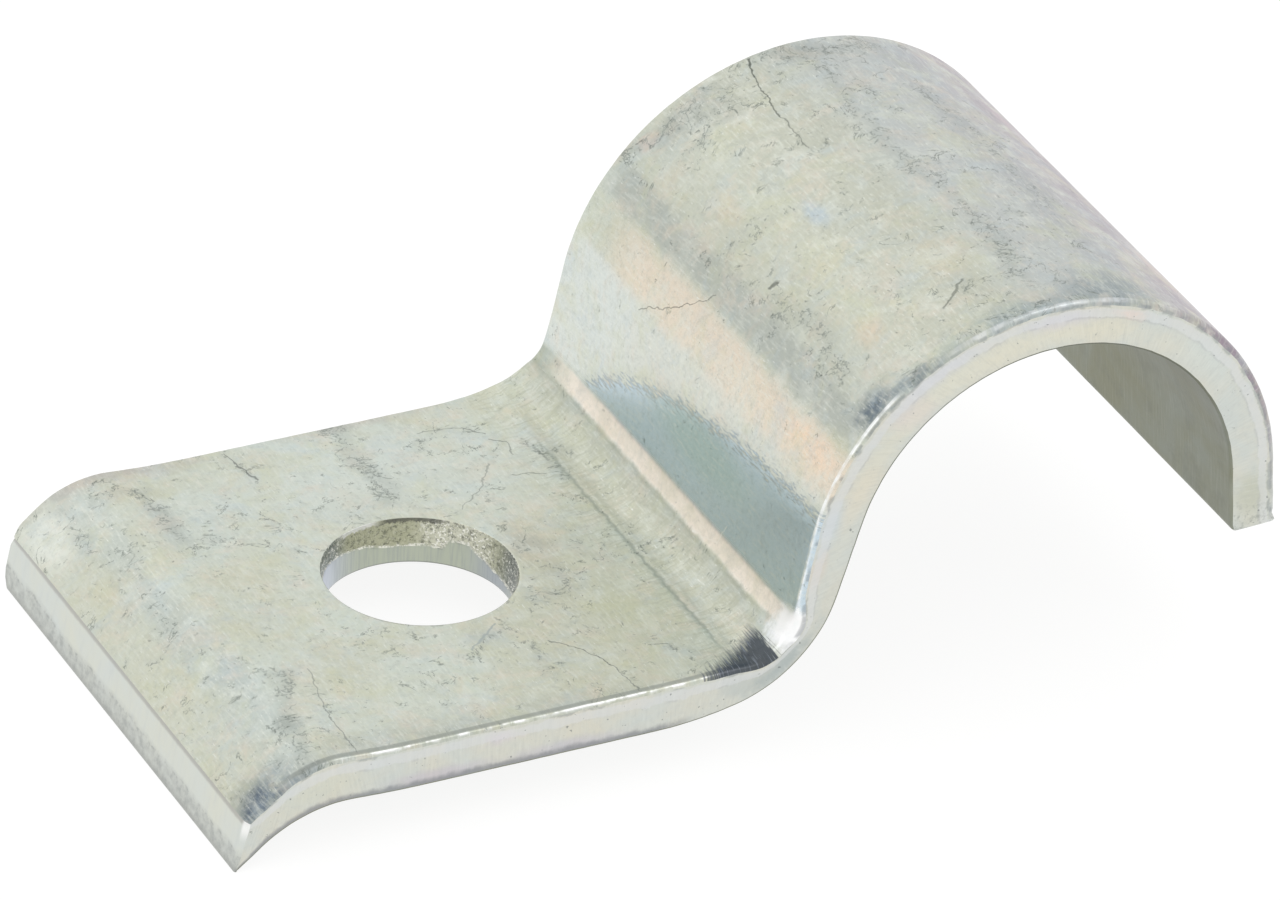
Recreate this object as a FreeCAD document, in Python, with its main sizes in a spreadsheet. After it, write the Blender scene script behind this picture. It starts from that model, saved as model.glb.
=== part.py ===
"""One-lug conduit strap: a strip of steel sheet, punched, bent over a former and zinc plated.

Row frame, millimetres: the origin is the centre of the fixing hole on the underside of the lug, which is
the face that is drawn down to the wall. +Z points away from the wall, +X runs along the strip from the
heel to the saddle, and Y is across the strip, along the conduit.

The strip is one PartDesign body. Its side view is one closed sketch of tangent lines and arcs, padded
symmetrically to the strip's width. The upper and lower lines are drawn apart, because the press thins the
sheet at the riser and its foot, and at the tip of the heel. The fixing hole is a groove with the section that a
punch leaves: a rolled rim, a smooth land and a wider torn zone.
"""
import FreeCAD, Part
import math
import os

import Sketcher

Vector = FreeCAD.Vector

# Driving dimensions in millimetres and degrees: alias, value, meaning.
DIMENSIONS = (
    ("strip_width", 20.0, "width of the strip, along the conduit"),
    ("sheet", 1.85, "thickness of the sheet"),
    ("flat_half", 4.5, "half length of the flat round the hole"),
    ("runout_radius", 38.0, "gentle curve from the flat to either bend, upper face"),
    ("foot_runout_lower", 13.5, "gentle curve from the flat to the foot, lower face"),
    ("foot_inner_radius", 1.7, "bend at the foot of the riser, upper face"),
    ("foot_outer_radius", 5.2, "the same bend, lower face, thinned by the press"),
    ("riser_angle", 80.0, "slope of the riser, upper face"),
    ("riser_lower_angle", 74.2, "slope of the riser, lower face"),
    ("saddle_radius", 9.45, "outer radius of the saddle"),
    ("saddle_offset", 19.55, "hole axis to saddle axis"),
    ("saddle_rise", 4.8, "height of the saddle axis over the underside"),
    ("tail_angle", 84.5, "slope of the straight tail of the saddle"),
    ("tail_length", 2.06, "straight part of the tail, outer face"),
    ("lip_radius", 0.87, "curve of the lip pushed out when the strip was parted"),
    ("lip_sweep", 37.5, "turn of that lip"),
    ("tail_corner", 0.28, "rounding of the tail's inner edge"),
    ("heel_reach", 11.75, "hole axis to the tip of the heel"),
    ("heel_drop", 1.96, "tip of the heel below the underside"),
    ("heel_angle", 39.5, "slope of the heel"),
    ("heel_face", 2.18, "height of the parted face at the heel"),
    ("heel_face_angle", 80.5, "slope of that face"),
    ("heel_upper_radius", 3.85, "bend to the heel, upper face"),
    ("heel_lower_radius", 5.05, "bend to the heel, lower face"),
    ("heel_rear_corner", 0.4, "rear corner of the heel, seen from above"),
    ("hole_radius", 3.45, "smooth land of the punched hole"),
    ("hole_roll", 0.1, "rolled rim where the punch went in, below"),
    ("hole_land", 0.7, "height of the smooth land's top over the underside"),
    ("hole_break", 0.1, "how much the torn zone opens towards the top"),
    ("upper_roll", 0.25, "rolled upper edge along both sides and the heel"),
    ("lower_edge", 0.1, "lower edges along both sides and the heel"),
)

# Order in which the side view's stretches are drawn, for the ones that edges are found by.
STRETCHES = {"upper flat": 3, "inner tail": 11, "lower flat": 16, "heel face": 20}
# How far the middle of an edge may lie from the point that marks it.
MARK_REACH = 0.3


def make_sheet(document):
    """Write the driving dimensions to a spreadsheet and return them by alias."""
    sheet = document.addObject("Spreadsheet::Sheet", "Dimensions")
    for row, (alias, value, meaning) in enumerate(DIMENSIONS, start=1):
        sheet.set(f"A{row}", alias)
        sheet.set(f"B{row}", str(value))
        sheet.set(f"C{row}", meaning)
        sheet.setAlias(f"B{row}", alias)
    document.recompute()
    return {alias: float(sheet.get(alias)) for alias, _, _ in DIMENSIONS}


def heading(degrees):
    """Unit vector in the sketch plane at an angle from +X."""
    return Vector(math.cos(math.radians(degrees)), math.sin(math.radians(degrees)), 0)


def left_of(direction):
    """Unit vector a quarter turn to the left of a direction."""
    return Vector(-direction.y, direction.x, 0)


def first_at_distance(point, direction, target, distance):
    """First point met along a line that lies at a given distance from a target."""
    offset = point - target
    along = offset.dot(direction)
    reach = math.sqrt(along ** 2 - offset.dot(offset) + distance ** 2)
    return point - direction * (reach + along)


class OutlineSketch:
    """A sketch drawn as one chain of lines and arcs, each tangent or joined to the one before."""

    def __init__(self, sketch):
        self.sketch = sketch
        self.exit = None

    def bind(self, expression, *constraint):
        """Add one dimension and bind it to the spreadsheet."""
        index = self.sketch.addConstraint(Sketcher.Constraint(*constraint))
        self.sketch.setExpression(f"Constraints[{index}]", expression)

    def relate(self, *constraint):
        """Add one constraint that has no value."""
        self.sketch.addConstraint(Sketcher.Constraint(*constraint))

    def join(self, geometry, entry, leave, smooth):
        """Join new geometry to the chain's open end and remember its own open end."""
        if self.exit:
            kind = "Tangent" if smooth else "Coincident"
            self.relate(kind, self.exit[0], self.exit[1], geometry, entry)
        self.exit = (geometry, leave)
        return geometry

    def line(self, start, end, smooth=True):
        """Add a straight stretch."""
        geometry = self.sketch.addGeometry(Part.LineSegment(start, end), False)
        return self.join(geometry, 1, 2, smooth)

    def arc(self, centre, start, end, left, radius=None, smooth=True):
        """Add an arc that turns left or right, with its radius bound if an expression is given."""
        first, last = (start, end) if left else (end, start)
        begin = math.atan2(first.y - centre.y, first.x - centre.x)
        finish = math.atan2(last.y - centre.y, last.x - centre.x)
        if finish < begin:
            finish += 2 * math.pi
        circle = Part.Circle(centre, Vector(0, 0, 1), (start - centre).Length)
        geometry = self.sketch.addGeometry(Part.ArcOfCircle(circle, begin, finish), False)
        if radius:
            self.bind(radius, "Radius", geometry, circle.Radius)
        return self.join(geometry, 1 if left else 2, 2 if left else 1, smooth)


def face_points(size, upper):
    """Tangent points and centres of the upper or lower line of the side view, heel to saddle."""
    level = size["sheet"] if upper else 0.0
    heel_runout = size["runout_radius"] + (0 if upper else size["sheet"])
    foot_runout = size["runout_radius"] if upper else size["foot_runout_lower"]
    foot = size["foot_inner_radius"] if upper else size["foot_outer_radius"]
    saddle = size["saddle_radius"] - (0 if upper else size["sheet"])
    bend = size["heel_upper_radius"] if upper else size["heel_lower_radius"]

    rise = heading(size["riser_angle"] if upper else size["riser_lower_angle"])
    axis = Vector(size["saddle_offset"], size["saddle_rise"], 0)
    riser_top = axis + left_of(rise) * saddle
    right_centre = Vector(size["flat_half"], level + foot_runout, 0)
    foot_line = riser_top + left_of(rise) * foot
    foot_centre = first_at_distance(foot_line, rise, right_centre, foot_runout - foot)
    foot_start = right_centre + (foot_centre - right_centre).normalize() * foot_runout

    slope = heading(size["heel_angle"])
    tip = Vector(-size["heel_reach"], -size["heel_drop"], 0)
    if upper:
        tip += heading(size["heel_face_angle"]) * size["heel_face"]
    left_centre = Vector(-size["flat_half"], level + heel_runout, 0)
    bend_centre = first_at_distance(tip - left_of(slope) * bend, slope, left_centre, heel_runout + bend)
    bend_end = left_centre + (bend_centre - left_centre).normalize() * heel_runout
    return {
        "tip": tip,
        "bend_start": bend_centre + left_of(slope) * bend,
        "bend_centre": bend_centre,
        "bend_end": bend_end,
        "left_centre": left_centre,
        "flat_start": Vector(-size["flat_half"], level, 0),
        "flat_end": Vector(size["flat_half"], level, 0),
        "right_centre": right_centre,
        "foot_start": foot_start,
        "foot_centre": foot_centre,
        "riser_start": foot_centre - left_of(rise) * foot,
        "riser_top": riser_top,
        "axis": axis,
        "tail_start": axis + left_of(heading(-size["tail_angle"])) * saddle,
    }


def draw_side_view(body, size):
    """Draw the closed side view of the strip on the XZ plane and return the sketch."""
    sketch = new_sketch(body, "SideView", "XZ_Plane")
    chain = OutlineSketch(sketch)
    top = face_points(size, upper=True)
    low = face_points(size, upper=False)
    down = heading(-size["tail_angle"])
    outward = left_of(down)

    # Upper face, from the heel over the riser and the saddle to the lip.
    heel = chain.line(top["tip"], top["bend_start"])
    chain.arc(top["bend_centre"], top["bend_start"], top["bend_end"], False, "Dimensions.heel_upper_radius")
    chain.arc(top["left_centre"], top["bend_end"], top["flat_start"], True, "Dimensions.runout_radius")
    flat = chain.line(top["flat_start"], top["flat_end"])
    chain.arc(top["right_centre"], top["flat_end"], top["foot_start"], True, "Dimensions.runout_radius")
    chain.arc(top["foot_centre"], top["foot_start"], top["riser_start"], True, "Dimensions.foot_inner_radius")
    riser = chain.line(top["riser_start"], top["riser_top"])
    saddle = chain.arc(top["axis"], top["riser_top"], top["tail_start"], False, "Dimensions.saddle_radius")
    tail_end = top["tail_start"] + down * size["tail_length"]
    tail = chain.line(top["tail_start"], tail_end)
    lip_centre = tail_end + outward * size["lip_radius"]
    lip_tip = lip_centre - left_of(heading(size["lip_sweep"] - size["tail_angle"])) * size["lip_radius"]
    lip = chain.arc(lip_centre, tail_end, lip_tip, True, "Dimensions.lip_radius")
    inner_end = low["tail_start"] + down * (lip_tip - low["tail_start"]).dot(down)
    tail_face = chain.line(lip_tip, inner_end, smooth=False)

    # Lower face, back from the tail to the heel, then up the parted face.
    inner_tail = chain.line(inner_end, low["tail_start"], smooth=False)
    inner = chain.arc(low["axis"], low["tail_start"], low["riser_top"], True,
                      "Dimensions.saddle_radius - Dimensions.sheet")
    inner_riser = chain.line(low["riser_top"], low["riser_start"])
    chain.arc(low["foot_centre"], low["riser_start"], low["foot_start"], False,
              "Dimensions.foot_outer_radius")
    chain.arc(low["right_centre"], low["foot_start"], low["flat_end"], False, "Dimensions.foot_runout_lower")
    inner_flat = chain.line(low["flat_end"], low["flat_start"])
    chain.arc(low["left_centre"], low["flat_start"], low["bend_end"], False,
              "Dimensions.runout_radius + Dimensions.sheet")
    chain.arc(low["bend_centre"], low["bend_end"], low["bend_start"], True, "Dimensions.heel_lower_radius")
    inner_heel = chain.line(low["bend_start"], low["tip"])
    heel_face = chain.line(low["tip"], top["tip"], smooth=False)
    chain.relate("Coincident", heel_face, 2, heel, 1)

    # The flat round the hole, the saddle's axis and the slopes.
    chain.relate("Horizontal", flat)
    chain.relate("Horizontal", inner_flat)
    chain.bind("-Dimensions.flat_half", "DistanceX", -1, 1, flat, 1, -size["flat_half"])
    chain.bind("Dimensions.flat_half", "DistanceX", -1, 1, flat, 2, size["flat_half"])
    chain.bind("Dimensions.sheet", "DistanceY", -1, 1, flat, 1, size["sheet"])
    chain.bind("Dimensions.flat_half", "DistanceX", -1, 1, inner_flat, 1, size["flat_half"])
    chain.bind("-Dimensions.flat_half", "DistanceX", -1, 1, inner_flat, 2, -size["flat_half"])
    chain.relate("PointOnObject", inner_flat, 1, -1)
    chain.bind("Dimensions.saddle_offset", "DistanceX", -1, 1, saddle, 3, size["saddle_offset"])
    chain.bind("Dimensions.saddle_rise", "DistanceY", -1, 1, saddle, 3, size["saddle_rise"])
    chain.relate("Coincident", inner, 3, saddle, 3)
    chain.bind("Dimensions.riser_angle", "Angle", riser, math.radians(size["riser_angle"]))
    chain.bind("Dimensions.riser_lower_angle - 180", "Angle", inner_riser,
               math.radians(size["riser_lower_angle"] - 180))

    # The tail with its lip, and the heel with its parted face.
    chain.bind("-Dimensions.tail_angle", "Angle", tail, math.radians(-size["tail_angle"]))
    chain.bind("Dimensions.tail_length", "Distance", tail, size["tail_length"])
    chain.bind("Dimensions.lip_sweep", "Angle", lip, math.radians(size["lip_sweep"]))
    chain.relate("Parallel", inner_tail, tail)
    chain.relate("Perpendicular", tail_face, tail)
    chain.bind("Dimensions.heel_angle", "Angle", heel, math.radians(size["heel_angle"]))
    chain.relate("Parallel", inner_heel, heel)
    chain.bind("-Dimensions.heel_reach", "DistanceX", -1, 1, heel_face, 1, -size["heel_reach"])
    chain.bind("-Dimensions.heel_drop", "DistanceY", -1, 1, heel_face, 1, -size["heel_drop"])
    chain.bind("Dimensions.heel_face_angle", "Angle", heel_face, math.radians(size["heel_face_angle"]))
    chain.bind("Dimensions.heel_face", "Distance", heel_face, size["heel_face"])
    return sketch


def new_sketch(body, name, role):
    """Attach an empty sketch to one of the body's own origin planes."""
    sketch = body.newObject("Sketcher::SketchObject", name)
    plane = next(item for item in body.Origin.OriginFeatures if item.Role == role)
    sketch.AttachmentSupport = [(plane, "")]
    sketch.MapMode = "FlatFace"
    return sketch


def cut_hole(body, size):
    """Turn the section of the punched hole about the hole axis and cut it from the lug."""
    sketch = new_sketch(body, "HoleSection", "XZ_Plane")
    chain = OutlineSketch(sketch)
    radius, roll = size["hole_radius"], size["hole_roll"]
    mouth = radius + size["hole_break"]
    below, above = -size["sheet"], 2 * size["sheet"]
    outside = Vector(radius + roll, below, 0)
    rim = Vector(radius + roll, 0, 0)
    land_start = Vector(radius, roll, 0)
    land_end = Vector(radius, size["hole_land"], 0)
    exit_rim = Vector(mouth, size["sheet"], 0)
    corner = Vector(mouth, above, 0)
    floor = chain.line(Vector(0, below, 0), outside)
    approach = chain.line(outside, rim, smooth=False)
    rolled = chain.arc(rim + Vector(0, roll, 0), rim, land_start, False, "Dimensions.hole_roll", smooth=False)
    land = chain.line(land_start, land_end)
    torn = chain.line(land_end, exit_rim, smooth=False)
    run = chain.line(exit_rim, corner, smooth=False)
    roof = chain.line(corner, Vector(0, above, 0), smooth=False)
    axis = chain.line(Vector(0, above, 0), Vector(0, below, 0), smooth=False)
    chain.relate("Coincident", axis, 2, floor, 1)

    for level in (floor, roof):
        chain.relate("Horizontal", level)
    for upright in (approach, land, run):
        chain.relate("Vertical", upright)
    chain.relate("PointOnObject", axis, 1, -2)
    chain.relate("PointOnObject", axis, 2, -2)
    chain.relate("PointOnObject", approach, 2, -1)
    chain.relate("Vertical", rolled, 3, approach, 2)
    chain.bind("Dimensions.hole_radius", "DistanceX", -1, 1, land, 1, radius)
    chain.bind("Dimensions.hole_land", "DistanceY", -1, 1, land, 2, size["hole_land"])
    chain.bind("Dimensions.sheet", "DistanceY", -1, 1, run, 1, size["sheet"])
    chain.bind("Dimensions.hole_radius + Dimensions.hole_break", "DistanceX", -1, 1, run, 1, mouth)
    chain.bind("-Dimensions.sheet", "DistanceY", -1, 1, axis, 2, below)
    chain.bind("2 * Dimensions.sheet", "DistanceY", -1, 1, axis, 1, above)
    groove = body.newObject("PartDesign::Groove", "FixingHole")
    groove.Profile = sketch
    groove.ReferenceAxis = (sketch, ["V_Axis"])
    groove.Angle = 360
    return groove


def pad_strip(body, sketch):
    """Give the side view the strip's width, half to each side of the hole axis."""
    pad = body.newObject("PartDesign::Pad", "Strip")
    pad.Profile = sketch
    pad.SideType = "Symmetric"
    pad.setExpression("Length", "Dimensions.strip_width")
    return pad


def middle_of(edge):
    """Point halfway along an edge."""
    return edge.valueAt((edge.FirstParameter + edge.LastParameter) / 2)


def round_edges(body, name, alias, marks):
    """Round each edge of the last feature whose middle is at one of the marked points."""
    base = body.Tip
    chosen = [
        f"Edge{number}"
        for number, edge in enumerate(base.Shape.Edges, start=1)
        if min((middle_of(edge) - mark).Length for mark in marks) < MARK_REACH
    ]
    if len(chosen) != len(marks):
        raise RuntimeError(f"{name}: {len(chosen)} edges found for {len(marks)} marks")
    fillet = body.newObject("PartDesign::Fillet", name)
    fillet.Base = (base, chosen)
    fillet.setExpression("Radius", f"Dimensions.{alias}")
    body.Document.recompute()
    return fillet


def round_the_strip(body, size, sketch):
    """Round the edges that shearing rolled over: each chain of smooth edges follows from one marked edge."""
    side = size["strip_width"] / 2
    outline = [middle_of(geometry.toShape()) for geometry in sketch.Geometry]

    def mark(name, across):
        """Middle of a side-view stretch, carried across the strip to one side."""
        point = outline[STRETCHES[name]]
        return Vector(point.x, across, point.y)

    def corner(name):
        """Start of a side-view stretch, in the middle of the strip's width."""
        point = sketch.Geometry[STRETCHES[name]].StartPoint
        return Vector(point.x, 0, point.y)

    round_edges(body, "HeelRearCorner", "heel_rear_corner", [mark("heel face", side)])
    round_edges(body, "UpperRoll", "upper_roll", [mark("upper flat", side), mark("upper flat", -side)])
    round_edges(body, "TailInnerCorner", "tail_corner", [corner("inner tail")])
    round_edges(body, "LowerEdges", "lower_edge", [mark("lower flat", side), mark("lower flat", -side)])


def check_document(document, body):
    """Stop if any object failed or the strap isn't one sound solid."""
    for item in document.Objects:
        if {"Invalid", "Error"} & set(item.State):
            raise RuntimeError(f"{item.Label} failed: {item.State}")
    shape = body.Shape
    if shape.isNull() or not shape.isValid() or len(shape.Solids) != 1:
        raise RuntimeError(f"{body.Label} is not one sound solid")


def main():
    """Build the document, check it and write the strap's STEP file."""
    document = FreeCAD.newDocument("conduit_strap")
    size = make_sheet(document)
    body = document.addObject("PartDesign::Body", "Strap")
    body.Label = "strap"
    side_view = draw_side_view(body, size)
    strip = pad_strip(body, side_view)
    document.recompute()
    hole = cut_hole(body, size)
    document.recompute()
    punched = strip.Shape.Volume - hole.Shape.Volume
    slug = math.pi * size["hole_radius"] ** 2 * size["sheet"]
    if punched < slug:
        raise RuntimeError(f"the fixing hole took {punched:.2f} mm3, less than its slug of {slug:.2f} mm3")
    round_the_strip(body, size, side_view)
    document.recompute()
    check_document(document, body)
    os.makedirs("parts", exist_ok=True)
    body.Shape.exportStep(f"parts/{body.Label}.step")
    print(f"{body.Label}: {len(body.Shape.Faces)} faces, {body.Shape.Volume:.1f} mm3, {body.Shape.BoundBox}")


if __name__ == "__main__":
    main()
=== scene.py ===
"""Looks of the one-lug conduit strap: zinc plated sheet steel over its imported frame.

The strap is one strip of sheet, so it is one mesh: a skin swept round the strip's side view, with
rolled edges, sheared sides and ends, and the torn and smooth zones of the punched hole. Lengths in
this file are millimetres unless a name says otherwise, and Blender gets metres.
"""

import logging
import math
from dataclasses import dataclass, field
from enum import Enum

import bpy
import numpy as np
from mathutils import Matrix, Vector, noise


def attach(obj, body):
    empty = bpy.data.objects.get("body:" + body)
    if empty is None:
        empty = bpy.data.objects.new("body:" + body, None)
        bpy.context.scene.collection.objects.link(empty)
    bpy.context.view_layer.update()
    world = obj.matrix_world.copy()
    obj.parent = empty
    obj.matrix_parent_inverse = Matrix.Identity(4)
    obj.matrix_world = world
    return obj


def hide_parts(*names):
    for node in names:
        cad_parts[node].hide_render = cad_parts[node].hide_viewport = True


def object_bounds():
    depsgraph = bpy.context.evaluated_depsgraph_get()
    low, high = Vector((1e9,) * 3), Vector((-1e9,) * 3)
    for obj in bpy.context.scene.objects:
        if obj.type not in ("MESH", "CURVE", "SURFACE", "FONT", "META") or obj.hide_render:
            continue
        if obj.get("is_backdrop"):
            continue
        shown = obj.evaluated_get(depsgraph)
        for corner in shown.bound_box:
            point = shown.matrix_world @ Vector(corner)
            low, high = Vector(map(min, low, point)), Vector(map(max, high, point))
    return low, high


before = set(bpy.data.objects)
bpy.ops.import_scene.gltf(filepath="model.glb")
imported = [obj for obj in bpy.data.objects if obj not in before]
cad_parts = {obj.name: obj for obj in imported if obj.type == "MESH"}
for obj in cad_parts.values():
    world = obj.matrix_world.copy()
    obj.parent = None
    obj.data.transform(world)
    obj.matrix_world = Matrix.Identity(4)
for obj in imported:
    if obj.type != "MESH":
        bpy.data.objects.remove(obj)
CAD_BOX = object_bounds()

LOG = logging.getLogger("conduit_strap")
Tree = bpy.types.NodeTree
Socket = bpy.types.NodeSocket
METRE = 0.001  # one millimetre in metres
BODY = "root"
NODE = "strap"


# ---------------------------------------------------------------------------------------------------------
# Helpers for colours, nodes and plane geometry
# ---------------------------------------------------------------------------------------------------------

def linear(shade: str) -> tuple[float, float, float, float]:
    """Turn an sRGB hex colour into Blender's linear RGBA.

    Args:
        shade: colour such as "#C9CDC0".

    Returns:
        Red, green, blue and an alpha of 1.
    """
    parts = [int(shade[i:i + 2], 16) / 255 for i in (1, 3, 5)]
    red, green, blue = (c / 12.92 if c <= 0.04045 else ((c + 0.055) / 1.055) ** 2.4 for c in parts)
    return red, green, blue, 1.0


def add(tree: Tree, kind: str, inputs: dict | None = None, take: int = 0, **settings: object) -> Socket:
    """Add one node with its settings and links.

    Args:
        tree: node tree to add to.
        kind: node type without its "ShaderNode" prefix.
        inputs: value or socket for each input, by name or number.
        take: number of the output to return.
        **settings: properties of the node.

    Returns:
        The chosen output socket.
    """
    made = tree.nodes.new("ShaderNode" + kind)
    for name, value in settings.items():
        setattr(made, name, value)
    for key, value in (inputs or {}).items():
        if isinstance(value, Socket):
            tree.links.new(value, made.inputs[key])
        else:
            made.inputs[key].default_value = value
    return made.outputs[take] if len(made.outputs) else None


def maths(tree: Tree, operation: str, *values: object, clamp: bool = False) -> Socket:
    """Add a maths node for the given values or sockets."""
    return add(tree, "Math", dict(enumerate(values)), operation=operation, use_clamp=clamp)


def times(tree: Tree, value: object, factor: object) -> Socket:
    """Value times factor."""
    return maths(tree, "MULTIPLY", value, factor)


def times_plus(tree: Tree, value: object, factor: object, more: object) -> Socket:
    """Value times factor, plus more."""
    return maths(tree, "MULTIPLY_ADD", value, factor, more)


def vectors(tree: Tree, operation: str, *values: object, take: int = 0) -> Socket:
    """Add a vector maths node for the given vectors or sockets."""
    return add(tree, "VectorMath", dict(enumerate(values)), take, operation=operation)


def axes(tree: Tree, vector: Socket) -> tuple[Socket, ...]:
    """Split a vector into its three numbers."""
    return tuple(add(tree, "SeparateXYZ", {0: vector}).node.outputs)


def blend(tree: Tree, share: Socket, ground: object, cover: object) -> Socket:
    """Mix two colours by a share."""
    return add(tree, "Mix", {0: share, 6: ground, 7: cover}, take=2, data_type="RGBA")


def ramp(tree: Tree, value: object, low: float, high: float, start: float = 0.0, end: float = 1.0,
         smooth: bool = False) -> Socket:
    """Carry a value from one range to another and hold it at the ends.

    Args:
        tree: node tree.
        value: value to carry over.
        low: value that gives start.
        high: value that gives end.
        start: result at low.
        end: result at high.
        smooth: ease in and out at the ends.

    Returns:
        The result.
    """
    kind = "SMOOTHSTEP" if smooth else "LINEAR"
    return add(tree, "MapRange", {0: value, 1: low, 2: high, 3: start, 4: end}, interpolation_type=kind)


def clouds(tree: Tree, place: Socket, size: float, detail: float, roughness: float = 0.5,
          distortion: float = 0.0, take: int = 0) -> Socket:
    """Noise with lumps of a given size.

    Args:
        tree: node tree.
        place: coordinates in millimetres.
        size: width of the largest lumps, in millimetres.
        detail: number of finer layers.
        roughness: strength of the finer layers.
        distortion: how much the lumps are pulled about.
        take: 0 for the value, 1 for the colour.

    Returns:
        The noise.
    """
    return add(tree, "TexNoise", {"Vector": place, "Scale": 1 / size, "Detail": detail,
                                  "Roughness": roughness, "Distortion": distortion}, take)


def aslant(tree: Tree, place: Socket, sizes: tuple[float, ...], degrees: float = 0.0) -> Socket:
    """Coordinates for a pattern that is drawn out and turned.

    Args:
        tree: node tree.
        place: coordinates in millimetres.
        sizes: size of the pattern along each of its own axes, 0 for none.
        degrees: turn about Z.

    Returns:
        The coordinates.
    """
    scale = tuple(1 / size if size else 0.0 for size in sizes)
    turn = (0.0, 0.0, math.radians(degrees))
    return add(tree, "Mapping", {0: place, "Rotation": turn, "Scale": scale})


def heading(degrees: float) -> np.ndarray:
    """Unit vector in the side view at an angle from +X."""
    return np.array([math.cos(math.radians(degrees)), math.sin(math.radians(degrees))])


def left_of(direction: np.ndarray) -> np.ndarray:
    """Vectors a quarter turn to the left of the given ones."""
    return np.stack([-direction[..., 1], direction[..., 0]], axis=-1)


def unit(vector: np.ndarray) -> np.ndarray:
    """Vectors of length one."""
    return vector / np.maximum(np.linalg.norm(vector, axis=-1, keepdims=True), 1e-12)


def first_at_distance(point: np.ndarray, direction: np.ndarray, target: np.ndarray,
                      distance: float) -> np.ndarray:
    """First point met along a line that lies at a given distance from a target."""
    offset = point - target
    along = float(offset @ direction)
    reach = math.sqrt(along ** 2 - float(offset @ offset) + distance ** 2)
    return point - direction * (reach + along)


def grain(places: np.ndarray, size: float, seed: float) -> np.ndarray:
    """Smooth random values from about -1 to 1 at the given places.

    Args:
        places: points, one row of two or three coordinates each.
        size: width of one lump, in the unit of the points.
        seed: shifts the pattern.

    Returns:
        One value per point.
    """
    flat = places.reshape(-1, places.shape[-1]) / size
    if flat.shape[1] == 2:
        flat = np.column_stack([flat, np.full(len(flat), seed)])
    else:
        flat = flat + seed
    values = [noise.noise(Vector(row)) for row in flat.tolist()]
    return np.array(values).reshape(places.shape[:-1])


class Zone(Enum):
    """Surfaces of the strap that were made in different ways; the value is the material's place."""

    ROLLED = 0
    INNER = 1
    SHEARED = 2
    PARTED = 3
    PUNCHED = 4


# ---------------------------------------------------------------------------------------------------------
# Side view of the strip
# ---------------------------------------------------------------------------------------------------------

@dataclass(frozen=True)
class Run:
    """One straight stretch or arc of the side view.

    Attributes:
        start: first point.
        end: last point.
        centre: centre of an arc, or None for a straight stretch.
        left: True where an arc turns left along the run.
    """

    start: np.ndarray
    end: np.ndarray
    centre: np.ndarray | None = None
    left: bool = True

    def sweep(self) -> tuple[float, float]:
        """Start angle and signed turn of the arc, in radians."""
        first = math.atan2(*(self.start - self.centre)[::-1])
        turn = math.atan2(*(self.end - self.centre)[::-1]) - first
        turn %= 2 * math.pi
        return first, turn if self.left else turn - 2 * math.pi

    def length(self) -> float:
        """Length of the run."""
        if self.centre is None:
            return float(np.linalg.norm(self.end - self.start))
        return abs(self.sweep()[1]) * float(np.linalg.norm(self.start - self.centre))

    def points(self, fractions: np.ndarray) -> np.ndarray:
        """Points at the given fractions of the run."""
        if self.centre is None:
            return self.start + (self.end - self.start) * fractions[:, None]
        first, turn = self.sweep()
        angle = first + turn * fractions
        reach = np.linalg.norm([self.start - self.centre, self.end - self.centre], axis=1)
        radius = reach[0] + (reach[1] - reach[0]) * fractions
        return self.centre + radius[:, None] * np.stack([np.cos(angle), np.sin(angle)], axis=1)


def rounded_corner(corner: np.ndarray, arriving: np.ndarray, leaving: np.ndarray,
                   radius: float) -> tuple[Run, Run]:
    """Two halves of the arc that rounds a right-hand corner of the side view.

    Args:
        corner: the sharp corner.
        arriving: unit direction of travel up to the corner.
        leaving: unit direction of travel after it.
        radius: radius of the rounding.

    Returns:
        The half before the arc's middle and the half after it.
    """
    turn = math.acos(float(np.clip(arriving @ leaving, -1, 1)))
    cut = radius * math.tan(turn / 2)
    start, end = corner - arriving * cut, corner + leaving * cut
    centre = start - left_of(arriving) * radius
    middle = centre + unit(unit(start - centre) + unit(end - centre)) * radius
    return Run(start, middle, centre, False), Run(middle, end, centre, False)


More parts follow.
